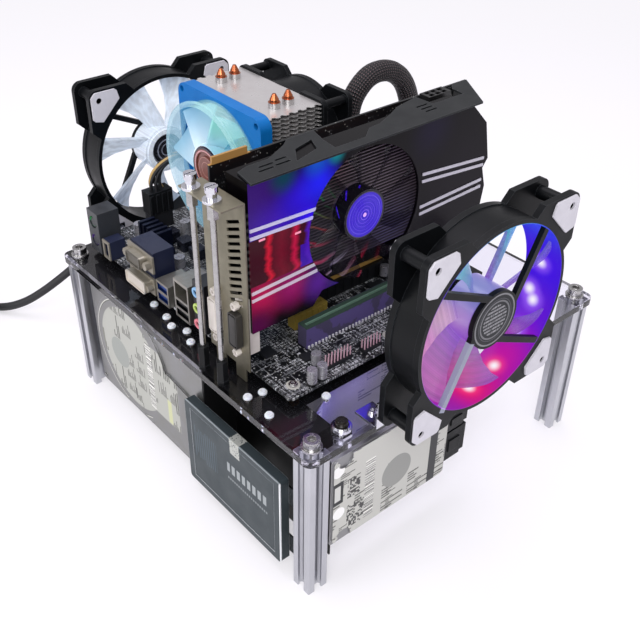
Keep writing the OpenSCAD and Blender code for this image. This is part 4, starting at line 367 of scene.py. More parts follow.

# Rear fan: painted cold white light through milky blades; the hub is black and turned in rings
rear_blades = Finish("milky_blades_white", "dfe6ee", patch=20, rough=(0.2, 0.3), grit=1.2, depth=0.01, edge=0)
far = rear_blades.from_axis(REAR_FAN, ACROSS_Y)
rear_blades.glow([
    near(REAR_FAN, -30, 30, 50, "c8d4e4"), near(REAR_FAN, 30, 30, 40, "dfe8f4"), near(REAR_FAN, -34, -34, 40, "a8b4cc"),
    near(REAR_FAN, 0, 0, 26, "e4ecf6"), near(REAR_FAN, -50, 4, 22, "e6eef8"),
], 0.42, "9fb0c8")
streaks = add(rear_blades.tree, "TexNoise", {"Vector": add(rear_blades.tree, "CombineXYZ", {
    0: rear_blades.maths("MULTIPLY", far, 0.12), 1: rear_blades.maths("MULTIPLY", rear_blades.round_axis(REAR_FAN), 14)}).outputs[0],
    "Scale": 1.0, "Detail": 4}).outputs[0]
rear_blades.dim(add(rear_blades.tree, "MapRange", {0: streaks, 1: 0.4, 2: 0.66, 3: 0.35, 4: 1.1}).outputs[0])
hub = rear_blades.maths("LESS_THAN", far, 12.6)
rear_blades.paint(hub, "1d1f26")
for low, high in ((4.2, 5.0), (7.6, 8.6), (11.4, 12.0)):
    rear_blades.paint(rear_blades.ring(far, low, high), "8d93a4")
rear_blades.dim(rear_blades.maths("SUBTRACT", 1.0, hub))
rear_blades.fade(rear_blades.maths("GREATER_THAN", far, 18.3), 0.8)
ridges(rear_blades, far, 1.1, 0.12)

# Cooler fan: painted cyan light in clear blades and ring, a copper-coloured disc on its hub
cooler_blades = Finish("clear_blades_painted_cyan_light", "93a8b0", patch=20, rough=(0.15, 0.25), grit=1.2, depth=0.01, edge=0)
far = cooler_blades.from_axis(COOLER_FAN, ACROSS_X)
cooler_blades.glow([
    (-55, 20, 226, 34, "2fb894"), (-58, 44, 234, 28, "5cd8c0"), (-58, 74, 214, 34, "58a4d8"), (-58, 50, 168, 36, "5a90dc"),
    (-58, 66, 204, 26, "f2fbff"), (-58, 26, 196, 20, "6a50d4"), (-58, 70, 178, 24, "8ac4f0"),
], 0.6, "3c8cb0")
hub = cooler_blades.maths("LESS_THAN", far, 16)
cooler_blades.dim(cooler_blades.maths("SUBTRACT", 1.0, hub))
cooler_blades.paint(hub, "6e4038")
for low, high, code in ((14.2, 16.0, "2a2030"), (12.6, 13.4, "c08a8e"), (8.4, 8.8, "9a6a60"), (5.0, 5.4, "9a6a60")):
    cooler_blades.paint(cooler_blades.ring(far, low, high), code)
cooler_blades.fade(cooler_blades.maths("GREATER_THAN", far, 17.4), 0.6)
cooler_ring = Finish("clear_lit_ring", "a4bcc4", "90acb4", patch=12, rough=(0.08, 0.16), Alpha=0.42)
cooler_ring.glow([(-55, 50, 240, 34, "7adcc8"), (-55, 20, 225, 26, "3cc09c"), (-55, 84, 190, 34, "9cd0ec"),
                  (-50, 10, 180, 30, "6078d8")], 0.42, "3c90ac")
# The cooler fan's frame: blue moulded plastic, with a faint painted blue glow, brightest at its top
blue_plastic = Finish("blue_moulded_plastic", "0a68b0", "085a9c", patch=14, rough=(0.34, 0.46), grit=0.5, depth=0.02,
                      Specular_IOR_Level=0.15)
blue_plastic.glow([(-42, 50, 242, 50, "0f78c0")], 0.1, "0a4e88")

# Graphics card's fan: smoked blades, blurred and half clear, with painted coloured glints in arcs, round a hub that
# shines blue and violet
card_blades = Finish("smoked_clear_blades", "0c0b12", "14121c", patch=12, rough=(0.14, 0.24), grit=1, depth=0.01, edge=0,
                     Specular_IOR_Level=0.3)
far = card_blades.from_axis(CARD_FAN, ACROSS_Y)
round_hub = card_blades.round_axis(CARD_FAN)
swirl = card_blades.maths("ADD", card_blades.maths("MULTIPLY", round_hub, 27.0), card_blades.maths("MULTIPLY", far, 0.3))
wobble = card_blades.maths("MULTIPLY", card_blades.clouds, 3.0)
arcs = card_blades.maths("SINE", card_blades.maths("ADD", swirl, wobble))
lines = add(card_blades.tree, "MapRange", {0: arcs, 1: 0.86, 2: 1.0, 3: 0.0, 4: 1.0}).outputs[0]
# Painted coloured glints, kept only on the blurred arcs and the hub
card_blades.glow([near(CARD_FAN, -34, 14, 22, "1c8a4a"), near(CARD_FAN, -36, -6, 20, "b01838"),
                  near(CARD_FAN, -22, -34, 22, "d0c0e8"), near(CARD_FAN, -34, -22, 16, "d83c70"),
                  near(CARD_FAN, 4, -40, 20, "c02048")], 1.0, "000000")
hub = card_blades.maths("LESS_THAN", far, 15.2)
card_blades.dim(card_blades.maths("ADD", lines, hub))
card_blades.shine(hub, "3212c4")
for low, high, code in ((0, 1.4, "e0a8f8"), (3.0, 3.5, "7450ec"), (5.4, 5.8, "5c3ae0"), (7.8, 8.2, "5030dc"), (10.2, 10.6, "4828d4"),
                        (12.4, 12.9, "5c44dc"), (14.6, 15.2, "3a3060")):
    card_blades.shine(card_blades.both(card_blades.ring(far, low, high), hub), code)
card_blades.fade(card_blades.maths("GREATER_THAN", far, 16.9), 0.3)
ridges(card_blades, far, 1.5, 0.1)

# The card's shroud: black gloss plastic with the painted reflected glow of the lamps in front of it
shroud = Finish("black_gloss_shroud", "040305", "070508", patch=30, rough=(0.16, 0.26), grit=1.5, depth=0.004,
                Specular_IOR_Level=0.1)
depth_in, high = shroud.axis("Y"), shroud.axis("Z")
shroud.glow([
    (-104, -65, 236, 40, "34146c"), (-106, -65, 214, 26, "3a1a80"), (-90, -65, 214, 26, "3c16a8"), (-72, -65, 226, 24, "2c12cc"),
    (-58, -65, 232, 20, "2020ee"), (-60, -65, 246, 14, "1450c0"), (-46, -65, 246, 9, "10808a"), (-84, -65, 243, 14, "0a3a4a"),
    (-66, -65, 212, 14, "3010e8"), (-60, -65, 196, 14, "3010c0"), (-100, -65, 172, 24, "a8104a"), (-78, -65, 171, 22, "8a0c5c"),
    (-58, -65, 165, 18, "4a1080"), (-40, -65, 154, 18, "2a1070"), (-104, -65, 153, 18, "4a0a3c"), (-12, -65, 154, 18, "120e22"),
    (34, -65, 236, 26, "120c26"), (60, -65, 200, 60, "0e0912"),
], 1.0, "080609", shroud.maths("LESS_THAN", depth_in, -64.7))
# Painted reflections: a dark red panel with wavy red and violet streaks across it
panel = shroud.both(shroud.inside((-110, -66, 181), (-62, -64, 211)), shroud.maths("GREATER_THAN", depth_in, -65.2))
shroud.shine(panel, "380c18")
shroud.shine(shroud.both(panel, shroud.inside((-72, -66, 181), (-60, -64, 196))), "38109c")
drift = add(shroud.tree, "TexNoise", {"Vector": add(shroud.tree, "CombineXYZ", {0: high}).outputs[0], "Scale": 0.16}).outputs[0]
for x, code, width in ((-86, "6a1024", 11.0), (-95, "c81632", 3.2), (-76, "b81440", 3.6), (-66, "4a18b0", 3.0)):
    wave = shroud.maths("MULTIPLY", shroud.maths("SUBTRACT", drift, 0.5), 12.0)
    off = shroud.maths("ABSOLUTE", shroud.maths("SUBTRACT", shroud.maths("ADD", shroud.axis("X"), wave), float(x)))
    line = add(shroud.tree, "MapRange", {0: off, 1: 0.0, 2: width, 3: 1.0, 4: 0.0}).outputs[0]
    shroud.shine(shroud.both(line, panel), code)
# Two painted pink highlight spots
for x, z in ((-99.5, 209.6), (-73.9, 204.9)):
    spot = shroud.inside((x - 2.2, -66, z - 0.7), (x + 2.2, -64, z + 0.7))
    shroud.shine(spot, "ff9ab8")
raised = shroud.maths("LESS_THAN", depth_in, -65.15)
shroud.paint(raised, "c0bec8")
shroud.dim(add(shroud.tree, "MapRange", {0: raised, 3: 1.0, 4: 0.35}).outputs[0])
shroud.roughen(raised, 0.2)

# The sheet over the card: dark grey paint with a fine orange-peel skin, paler grey at its edges
stiffener = Finish("dark_painted_sheet", "1f2123", "191b1d", patch=16, rough=(0.42, 0.54), grit=0.8, depth=0.02,
                   Specular_IOR_Level=0.2)
stiffener.edge_wear_and_highlight("74767a")
# The card's fins: dark grey aluminium, with painted faint light on their front faces
card_fins = Finish("dark_aluminium_fins_painted_light", "6c6468", "544e52", patch=10, rough=(0.34, 0.48), edge=0, Metallic=0.4)
card_fins.glow([near(CARD_FAN, 30, 10, 46, "3a303c"), near(CARD_FAN, 34, -26, 34, "2c2850"), near(CARD_FAN, -20, 34, 30, "4a2c30")],
               1.0, "1c1620", card_fins.maths("LESS_THAN", card_fins.axis("Y"), -50.7))

# Circuit board: black solder mask, fine white print, tinned pads
board = Finish("black_circuit_board", "08090b", "0e1013", patch=14, rough=(0.32, 0.42), grit=0.6, depth=0.01, edge=0.2,
               Specular_IOR_Level=0.35)
bx, by = board.axis("X"), board.axis("Y")
for wide, tall, share, code in ((13.0, 7.5, 0.5, "8f9194"), (5.2, 3.1, 0.54, "7c7e82"), (2.6, 1.4, 0.56, "6a6c70")):
    outline = add(board.tree, "TexBrick", {"Vector": board.place, "Scale": 1.0, "Mortar Size": 0.16, "Mortar Smooth": 0.0,
                                           "Brick Width": wide, "Row Height": tall}, offset=0.37, squash=0.7).outputs["Fac"]
    where = add(board.tree, "TexNoise", {"Vector": board.place, "Scale": 1 / (wide * 1.6)}).outputs[0]
    board.paint(board.maths("MULTIPLY", outline, board.maths("GREATER_THAN", where, share)), code)
dots = add(board.tree, "TexVoronoi", {"Vector": board.place, "Scale": 1 / 2.6}).outputs["Distance"]
board.paint(board.maths("LESS_THAN", dots, 0.16), "a9a9a4")
for u, v, row, letter, gap, full in ((bx, by, 2.3, 0.55, 0.4, 0.46), (by, bx, 2.9, 0.5, 0.36, 0.44), (bx, by, 4.7, 1.2, 0.3, 0.4)):
    spread = add(board.tree, "TexNoise", {"Vector": board.place, "Scale": 1 / (4 + 2 * row)}).outputs[0]
    board.paint(board.maths("MULTIPLY", board.marks(u, v, row, letter, gap, full),
                            board.maths("GREATER_THAN", spread, 0.52)), "c4c6ca")
for x, y in ((-99, -91), (-20.2, -91), (66, -91), (-99, -24), (66, -24), (-99, 129), (-20.2, 129), (66, 129)):
    board.paint(board.ring(board.from_axis((x, y, 0), (1, 1, 0)), 2.6, 4.4), "a8a7a0")

# The card's own board, with a gilded tab at its upper corner and along its lower edge
card_pcb = Finish("black_card_board", "0a0b0d", "111216", patch=12, rough=(0.3, 0.42), grit=0.6, depth=0.01, edge=0.2,
                  Specular_IOR_Level=0.35)
thin = add(card_pcb.tree, "TexNoise", {"Vector": card_pcb.place, "Scale": 1 / 9}).outputs[0]
card_pcb.paint(card_pcb.both(card_pcb.marks(card_pcb.axis("X"), card_pcb.axis("Z"), 2.3, 0.6, 0.4, 0.42),
                             card_pcb.maths("GREATER_THAN", thin, 0.6)), "7c7e82")
soldered = add(card_pcb.tree, "TexVoronoi", {"Vector": card_pcb.place, "Scale": 1 / 3.1}).outputs["Distance"]
card_pcb.paint(card_pcb.maths("LESS_THAN", soldered, 0.13), "8e8e8a")
card_pcb.paint(card_pcb.inside((-112, -40, 245.2), (-82, -20, 252)), "a27a44")
card_pcb.paint(card_pcb.inside((-60, -40, 120), (40, -20, 137)), "b8934a")

# Sockets along the board's edge, each plastic in its own colour
port_black = Finish("port_plastics", "2a2c30", "34363a", patch=6, rough=(0.3, 0.44), grit=0.4, depth=0.02)
port_black.paint(port_black.ring(port_black.from_axis((-112, 118, 131.4), ACROSS_X), 3.4, 4.65), "5a3c8c")
port_black.paint(port_black.ring(port_black.from_axis((-112, 118, 146), ACROSS_X), 3.4, 4.65), "3f9a5c")
slots = Finish("slot_plastics", "94803a", "857232", patch=12, rough=(0.38, 0.52), grit=0.5, depth=0.02, Specular_IOR_Level=0.3)
old_slot = slots.inside((-72, -71.2, 118), (16, -60.5, 142))
slots.paint(old_slot, "46415a")
# Painted violet light in patches on the front face of the old slot
slots.paint(slots.both(slots.inside((-72, -71.2, 118), (16, -68.8, 142)), slots.maths("GREATER_THAN", slots.clouds, 0.48)), "544a7a")
slots.paint(slots.inside((-72, -69.6, 137.3), (16, -61.2, 142)), "33453c")
slots.paint(slots.inside((-68, -66.3, 136), (13, -64.1, 142)), "6f8f7c")
slots.paint(slots.inside((-72, -71.2, 118), (16, -69.6, 124.7)), "c9c9cc")
# The long slot under the card is painted black as shade
slots.paint(slots.inside((-60, -40, 118), (34, -26, 150)), "101114")
slots.paint(slots.inside((33, -40, 118), (43.7, 140, 150)), "1a1c20")
slots.paint(slots.inside((43.9, -40, 118), (60, 140, 150)), "a88c30")
jacks = Finish("audio_plastics", "141417", "1b1b1f", patch=6, rough=(0.32, 0.46))
for low, code in ((124, "d87c88"), (136, "a8c060"), (148, "7aa8d0")):
    jacks.paint(jacks.inside((-116, -30, low), (-111.4, 5, low + 10)), code)
# Tin-plated shells with plastic tongues inside: the lower pair blue, the rest dark
ports = Finish("tinned_port_shells", "a9a69f", "8c8881", patch=4, rough=(0.28, 0.44), grit=0.5, depth=0.01, Metallic=0.9)
ports.paint(ports.inside((-112.2, -2.6, 124), (-97, 13, 137.4)), "1c1c20")
ports.paint(ports.inside((-112.2, 21.8, 124), (-97, 35, 139)), "2c4c9c")
video = Finish("video_port_shells", "a39d92", "8b8577", patch=4, rough=(0.28, 0.44), grit=0.5, depth=0.01, Metallic=0.6)
video.paint(video.maths("GREATER_THAN", video.axis("X"), -111.5), "1c2138")
video.unplate(video.maths("GREATER_THAN", video.axis("X"), -111.5))
video.paint(video.inside((-119.6, 40, 124), (-118, 66, 138)), "d2cbc0")
video.paint(video.inside((-119.6, 43, 141), (-118, 63, 155)), "6a665e")

# Memory: a green board with black chips on its right face
memory = Finish("green_memory_board", "1d5a3a", "174a30", patch=10, rough=(0.34, 0.46), edge=0.2)
memory.paint(memory.maths("GREATER_THAN", memory.axis("X"), 39.75), "17181a")

# Cans: bare aluminium tops above a dark base; chokes are dark ferrite cubes
cans = Finish("aluminium_cans", "b4b3b8", "9e9da4", patch=4, rough=(0.22, 0.34), edge=0.25, Metallic=0.6)
cans.paint(cans.maths("LESS_THAN", cans.axis("Z"), 124.0), "26262a")
ferrite = cans.both(cans.maths("LESS_THAN", cans.axis("Z"), 130.7), cans.inside((-68, 58, 122), (-55, 104, 131)))
cans.paint(ferrite, "2a2c38")
cans.paint(cans.inside((-15, 100, 122), (-3.6, 112, 131)), "2a2c38")
blue_heatsink = Finish("blue_anodised_heatsink", "20263e", "171c30", patch=8, rough=(0.3, 0.42), Metallic=0.8)
sockets = Finish("socket_nylon", "16171a", "1e1f23", patch=8, rough=(0.4, 0.54), grit=0.4, depth=0.02, Specular_IOR_Level=0.3)
sockets.paint(sockets.inside((-76, -99, 124.9), (50, -89, 132)), "c8a6b0")
sockets.roughen(sockets.inside((-76, -99, 124.9), (50, -89, 132)), 0.25)

# The near socket of the card is dark in a cream shell, the far one all cream
card_sockets = Finish("card_socket_plastics", "d9d2cb", "c8c1ba", patch=6, rough=(0.34, 0.46))
card_sockets.paint(card_sockets.inside((-135, -66, 140), (-112.5, -51, 164.6)), "2a2826")
card_sockets.paint(card_sockets.inside((40, -45, 200), (90, -30, 260)), "101012")

# Large drives: cast aluminium body, drawn cover with a printed paper label


def printed(name, face, u, v, shade, ink, tone="a6a5a2", within=None, **look):
    """Cast aluminium with a pale label on one face; rows of unreadable print run along u."""
    f = Finish(name, tone, "96969a", patch=12, rough=(0.3, 0.42), grit=0.5, depth=0.012, edge=0.4, Metallic=0.85, **look)
    f.edge_wear_and_highlight("dcdce0", 0.5)
    label = f.maths("LESS_THAN", f.axis(face[0]), face[1])
    for part in within or ():
        label = f.both(label, part(f))
    f.paint(label, shade)
    f.roughen(label, 0.5)
    f.unplate(label)
    for wide, tall, row, letter, shift in ((23, 11, 2.2, 0.45, 3), (13, 15, 1.5, 0.3, 8)):
        seat = add(f.tree, "CombineXYZ", {0: f.maths("FLOOR", f.maths("DIVIDE", f.axis(u), wide)),
                                          1: f.maths("FLOOR", f.maths("DIVIDE", f.axis(v), tall)), 2: shift}).outputs[0]
        taken = add(f.tree, "TexWhiteNoise", {"Vector": seat}).outputs["Value"]
        inset = f.both(f.maths("GREATER_THAN", f.maths("FRACT", f.maths("DIVIDE", f.axis(v), tall)), 0.18),
                       f.maths("LESS_THAN", f.maths("FRACT", f.maths("DIVIDE", f.axis(u), wide)),
                               add(f.tree, "TexWhiteNoise", {"W": f.maths("FLOOR", f.maths("DIVIDE", f.axis(v), row))},
                                   noise_dimensions="1D").outputs["Value"]))
        rows = f.marks(f.axis(u), f.axis(v), row, letter, 0.55, 0.66)
        f.paint(f.both(f.both(rows, label), f.both(inset, f.maths("GREATER_THAN", taken, 0.55))), ink)
    return f, label


def bars(f, label, letter, pitch, low, high, code="2c2c2e"):
    """A block of narrow bars of uneven width, generic."""
    seat = add(f.tree, "CombineXYZ", {0: f.maths("DIVIDE", f.axis(letter), pitch)}).outputs[0]
    stripe = f.maths("GREATER_THAN", add(f.tree, "TexNoise", {"Vector": seat, "Scale": 1.0, "Detail": 1}).outputs[0], 0.5)
    block = f.both(f.inside(low, high), label)
    f.paint(block, "e4e4de")
    f.paint(f.both(block, stripe), code)


def keyhole(f):
    """The left drive's label: a disc over the spindle and a tongue towards the front."""
    disc = f.ring(f.from_axis((-123, 65.6, 59.2), ACROSS_X), -1, 41)
    return f.maths("MAXIMUM", disc, f.inside((-126, 4, 30), (-120, 60, 88)))


left_metal, label = printed("cast_drive_left", ("X", -122.75), "Z", "Y", "a4a59e", "4c4c48", "74746c", [keyhole])
# A pressed ring round the spindle, drawn as a painted dark shade line with a painted pale highlight outside it
groove = left_metal.from_axis((-123, 65.6, 59.2), ACROSS_X)
for low, high, code in ((45.6, 46.2, "5a5a54"), (46.2, 47.0, "dadad2")):
    left_metal.paint(left_metal.both(left_metal.ring(groove, low, high), left_metal.inside((-126, 44, 0), (-120, 130, 110))), code)
bars(left_metal, label, "Z", 0.8, (-126, 36, 30), (-122, 43, 88), "50504e")
left_metal.paint(left_metal.both(left_metal.ring(left_metal.from_axis((-123, 82, 56), ACROSS_X), 0, 12.5), label), "8d918c")
left_metal.paint(left_metal.both(left_metal.inside((-126, 14, 31), (-122, 19, 52)), label), "b9bc92")
left_metal.paint(left_metal.both(left_metal.inside((-126, 104, 30), (-122, 110, 66)), label), "77776f")
inner_metal, label = printed("cast_drive_inner", ("Y", -91.85), "X", "Z", "9c9aa8", "55556a")
bars(inner_metal, label, "Z", 0.8, (-92, -95, 74), (-78, -90, 104), "32304a")
# Painted violet light on the label
inner_metal.glow([(-84, -92, 95, 34, "5a40d0"), (-50, -92, 98, 30, "6a5aa8")], 0.5, "08080c", label)

front_metal, label = printed("front_drive_label", ("Y", -140.4), "X", "Z", "bdbdb7", "5c5c58", "8c8c8a")
bars(front_metal, label, "Z", 0.7, (-84, -142, 40), (-76, -140, 88), "4a4a48")
grid = add(front_metal.tree, "TexNoise", {"Vector": add(front_metal.tree, "VectorMath", {
    0: add(front_metal.tree, "VectorMath", {0: front_metal.place, 1: (1.25, 1.0, 1.25)}, operation="DIVIDE").outputs[0]},
    operation="FLOOR").outputs[0], "Scale": 0.9, "Detail": 0}).outputs[0]
for low, high in (((-98, -142, 66), (-88, -140, 82)), ((-98, -142, 40), (-84, -140, 60))):
    block = front_metal.both(front_metal.inside(low, high), label)
    front_metal.paint(front_metal.both(block, front_metal.maths("GREATER_THAN", grid, 0.5)), "3a3a3a")
frame_bar = front_metal.both(front_metal.inside((-110, -142, 66), (-101.5, -140, 84)), label)
front_metal.paint(frame_bar, "1c1d20")
front_metal.paint(front_metal.inside((-108.2, -142, 69), (-103.6, -140, 81)), "c8c8c4")
for x, z in ((-105.5, 93), (-104.5, 58)):
    front_metal.paint(front_metal.both(front_metal.ring(front_metal.from_axis((x, -140, z), ACROSS_Y), 0, 4.6), label), "ececea")
front_metal.paint(front_metal.both(front_metal.ring(front_metal.from_axis((-57, -140, 64), ACROSS_Y), 0, 12.5), label), "8f908c")
front_metal.paint(front_metal.both(front_metal.inside((-27.5, -142, 20), (-20.5, -140, 110)), label), "2a2b2e")

# Solid-state drive: dark slate anodising with a bright cut chamfer, a pale wave and two rows of marks
slate = Finish("slate_anodised_aluminium", "3d464a", "363e42", patch=14, rough=(0.38, 0.48), grit=0.4, depth=0.01, edge=0.5,
               Metallic=0.4, Specular_IOR_Level=0.3)
slate.edge_wear_and_highlight("c4c8cc", 0.9)
face = slate.maths("LESS_THAN", slate.axis("X"), -129.6)
tall = slate.maths("ABSOLUTE", slate.maths("SUBTRACT", slate.axis("Z"), 50.0))
swing = add(slate.tree, "TexNoise", {"Vector": add(slate.tree, "CombineXYZ", {
    0: slate.maths("FLOOR", slate.maths("DIVIDE", slate.axis("Y"), 2.4))}).outputs[0], "Scale": 1.3}).outputs[0]
line = slate.maths("LESS_THAN", slate.maths("FRACT", slate.maths("DIVIDE", slate.axis("Y"), 2.4)), 0.3)
wave = slate.both(slate.maths("LESS_THAN", tall, slate.maths("MULTIPLY", swing, 26.0)), slate.inside((-131, -50, 30), (-129, -24, 72)))
slate.paint(slate.both(slate.both(wave, line), face), "50606a")
for low, high, letter, code in ((50, 57.5, 5.4, "9aa0a2"), (43.5, 45.3, 2.2, "848a8c")):
    dash = slate.maths("LESS_THAN", slate.maths("FRACT", slate.maths("DIVIDE", slate.axis("Y"), letter)), 0.62)
    row = slate.both(slate.inside((-131, -104, low), (-129, -62, high)), face)
    slate.paint(slate.both(row, dash), code)
slate.paint(slate.inside((-130.3, -116.8, 11), (-129.1, -115.7, 80.4)), "eceef0")
slate.paint(slate.inside((-130.3, -116.8, 79.8), (-129.3, -16, 81)), "90989c")
seal = slate.inside((-131, -76, 68), (-122, -66, 82))
glint = add(slate.tree, "TexVoronoi", {"Vector": slate.place, "Scale": 1 / 1.3}).outputs["Distance"]
slate.paint(slate.both(seal, slate.maths("GREATER_THAN", glint, 0.32)), "b4b6b0")

cap = Finish("dark_button_cap", "37332f", "2a2724", patch=3, rough=(0.2, 0.32), Metallic=0.6)
psu_paint = Finish("black_powder_coat", "0d0d10", "141417", patch=9, rough=(0.5, 0.62), grit=0.6, depth=0.05,
                   Specular_IOR_Level=0.3)
for special in (fan_black, front_frame, front_blades, rear_blades, cooler_blades, cooler_ring, blue_plastic, card_blades, shroud,
                stiffener, card_fins, board, card_pcb, port_black, slots, jacks, ports, video, memory, cans, blue_heatsink,
                sockets, card_sockets, left_metal, inner_metal, front_metal, slate, cap, psu_paint):
    special.done()


def dress(names, material):
    for name in names.split():
        node = NODES[name]
        node.data.materials.clear()
        node.data.materials.append(material)


PLAIN = {
    "deck": acrylic,
    "leg_front_left leg_front_right leg_rear_left leg_rear_right": leg_metal,
    "leg_bolts board_screws post_rods drive_brackets": steel,
    "thumb_screws fan_brackets power_button_body": chrome,
    "standoffs": brass,
    "deck_screws": nylon,
    "heat_pipes card_pipe": copper,
    "cooler_fins cooler_base": fin_metal,
    "card_heatsink": card_fins,
    "card_bracket": bracket_steel,
    "video_ports": video,
    "usb_lan_ports": ports,
    "front_fan_frame": front_frame,
    "rear_fan_frame pull_fan_frame pull_fan_rotor psu_fan_rotor": fan_black,
    "board_sockets": sockets,
    "drive_plugs post_bases psu_switch power_cables mains_plug": black_plastic,
    "fan_pads": rubber,
    "card_shroud": shroud,
    "front_fan_rotor": front_blades,
    "rear_fan_rotor": rear_blades,
    "cooler_fan_rotor": cooler_blades,
    "cooler_fan_ring": cooler_ring,
    "cooler_fan_frame": blue_plastic,
    "card_fan_rotor": card_blades,
    "card_stiffener": stiffener,
    "motherboard": board,
    "card_board": card_pcb,
    "ps2_port": port_black,
    "board_slots": slots,
    "audio_jacks": jacks,
    "memory_module": memory,
    "capacitors": cans,
    "board_heatsinks": blue_heatsink,
    "card_ports": card_sockets,
    "left_drive": left_metal,
    "inner_drive": inner_metal,
    "front_drive": front_metal,
    "ssd": slate,
    "power_button_cap": cap,
    "psu_case psu_bracket": psu_paint,
}
for names, finish in PLAIN.items():
    dress(names, finish.material)


def add_piece(name, mesh, material, body="bench"):
    piece = bpy.data.objects.new(name, mesh)
    bpy.context.scene.collection.objects.link(piece)
    if material:
        mesh.materials.append(material)
    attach(piece, body)
    return piece


def smooth(points, steps):
    """The same smooth curve through a route's points as the part's own tubes follow."""
    out = []
    for i in range(len(points) - 1):
        a, b, c, d = (Vector(points[min(max(i + k, 0), len(points) - 1)]) for k in (-1, 0, 1, 2))
        for k in range(steps):
            t = k / steps
            out.append(0.5 * (2 * b + (c - a) * t + (2 * a - 5 * b + 4 * c - d) * t * t + (3 * b - a - 3 * c + d) * t ** 3))
    return out + [Vector(points[-1])]


def tube(name, points, radius, material, sides=16):
    """A round tube along points in millimetres; its UV is length and girth in millimetres."""
    points = [Vector(p) for p in points]
    mesh = bmesh.new()
    uv = mesh.loops.layers.uv.new("along")
    guide = Vector((0, 0, 1)) if abs((points[1] - points[0]).normalized().z) < 0.9 else Vector((1, 0, 0))
    rings, lengths, gone = [], [], 0.0
    for i, point in enumerate(points):
        ahead = (points[min(i + 1, len(points) - 1)] - points[max(i - 1, 0)]).normalized()
        guide = (guide - ahead * guide.dot(ahead)).normalized()
        across = ahead.cross(guide)
        gone += (point - points[i - 1]).length if i else 0
        rings.append([mesh.verts.new((point + radius * (math.cos(a) * guide + math.sin(a) * across)) * MM)
                      for a in (2 * math.pi * k / sides for k in range(sides))])
        lengths.append(gone)
    for i in range(len(rings) - 1):
        for k in range(sides):
            j = (k + 1) % sides
            face = mesh.faces.new((rings[i][k], rings[i][j], rings[i + 1][j], rings[i + 1][k]))
            face.smooth = True
            girth = 2 * math.pi * radius / sides
            for loop, (u, v) in zip(face.loops, ((lengths[i], k), (lengths[i], k + 1), (lengths[i + 1], k + 1), (lengths[i + 1], k))):
                loop[uv].uv = (u, v * girth)
    mesh.faces.new(list(reversed(rings[0])))
    mesh.faces.new(rings[-1])
    bmesh.ops.recalc_face_normals(mesh, faces=mesh.faces)
    data = bpy.data.meshes.new(name)
    mesh.to_mesh(data)
    return add_piece(name, data, material)


# Cord rubber, extruded: a dull black skin with faint grain
cord_rubber = Finish("black_cord_rubber", "151517", "222226", patch=20, rough=(0.5, 0.65), grit=0.7, depth=0.02,
                     edge=0).done()

CORD_ROUTE = [
    (-63, 195.4, 60), (-64.1, 203.7, 59.8), (-67.3, 211.4, 58.7), (-72.8, 217.8, 56), (-80.4, 222.4, 51.2), (-91, 226, 43.8),
    (-102.3, 231, 35), (-114, 238.4, 25.1), (-125, 248, 15.6), (-135, 259.5, 8.4), (-143.2, 270.8, 4.7),
    (-148.6, 280.8, 3.6), (-150.2, 290, 3.5),
]
CORD_D = 7
COIL = (-200, 290)
COIL_OUT, COIL_IN = 42.5, 35.5
PLUG_BACK = (-264, 297, 11)
TAIL_BEND = 32


def coil_points():
    """Six turns, two beside each other on three layers, then down beside the coil to the plug."""
    stops = [
        (0, 49.8, 3.5), (70, COIL_OUT, 3.5), (330, COIL_OUT, 3.5), (400, COIL_IN, 3.5), (640, COIL_IN, 3.5),
        (710, COIL_IN, 10.6), (980, COIL_IN, 10.6), (1050, COIL_OUT, 10.6), (1320, COIL_OUT, 10.6),
        (1390, COIL_OUT, 17.7), (1420, COIL_OUT, 17.7), (1480, COIL_IN, 17.7), (1715, COIL_IN, 17.7),
        (1800, COIL_OUT, 17.7), (1890, COIL_OUT, 17.7),
    ]
    points = []
    for (a0, r0, z0), (a1, r1, z1) in zip(stops, stops[1:]):
        steps = max(3, round((a1 - a0) / 12))
        for k in range(steps):
            s = k / steps
            e = s * s * (3 - 2 * s)
            a = math.radians(a0 + (a1 - a0) * s)
            r, z = r0 + (r1 - r0) * e, z0 + (z1 - z0) * e
            points.append((COIL[0] + r * math.cos(a), COIL[1] + r * math.sin(a), z))
    return points


def plug_tail():
    """From the coil's far side a quarter turn down into the back of the plug."""
    x, y, z = PLUG_BACK
    points = [(COIL[0], COIL[1] + COIL_OUT, 17.7), (COIL[0] - 11, y + TAIL_BEND + 3, 17.4), (COIL[0] - 22, y + TAIL_BEND + 1.5, 16.8)]
    for turn in range(90, -1, -15):
        a = math.radians(turn)
        points.append((x + TAIL_BEND * (1 - math.cos(a)), y + 1 + TAIL_BEND * math.sin(a), z + 5.2 * (turn / 90) ** 1.3))
    return points + [PLUG_BACK]


def lay_cord():
    turns = coil_points()
    path = smooth(CORD_ROUTE, 4)[:-1] + [Vector(p) for p in turns + plug_tail()]
    cord = tube("mains_lead", path, CORD_D / 2, cord_rubber, sides=14)
    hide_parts("mains_cord", "cord_coil")


lay_cord()

# The braided bundle leaves the board's power plug, arches over the card and goes down through the deck's slot
BUNDLE_ROUTE = [
    (66, 28, 148), (62, 28, 168), (52, 28, 190), (48, 28, 208), (52, 28, 226), (66, 28, 238), (84, 28, 238), (99, 28, 228),
    (108, 28, 210), (112, 28, 185), (112, 28, 150), (112, 28, 118), (112, 27, 92), (109, 14, 70), (98, -8, 60),
    (78, -24, 62), (50, -26, 72), (30, -18, 82), (23, -7, 84), (23, -1.5, 84.5),
]
BUNDLE_D = 15
BOARD_TOP = 122.6


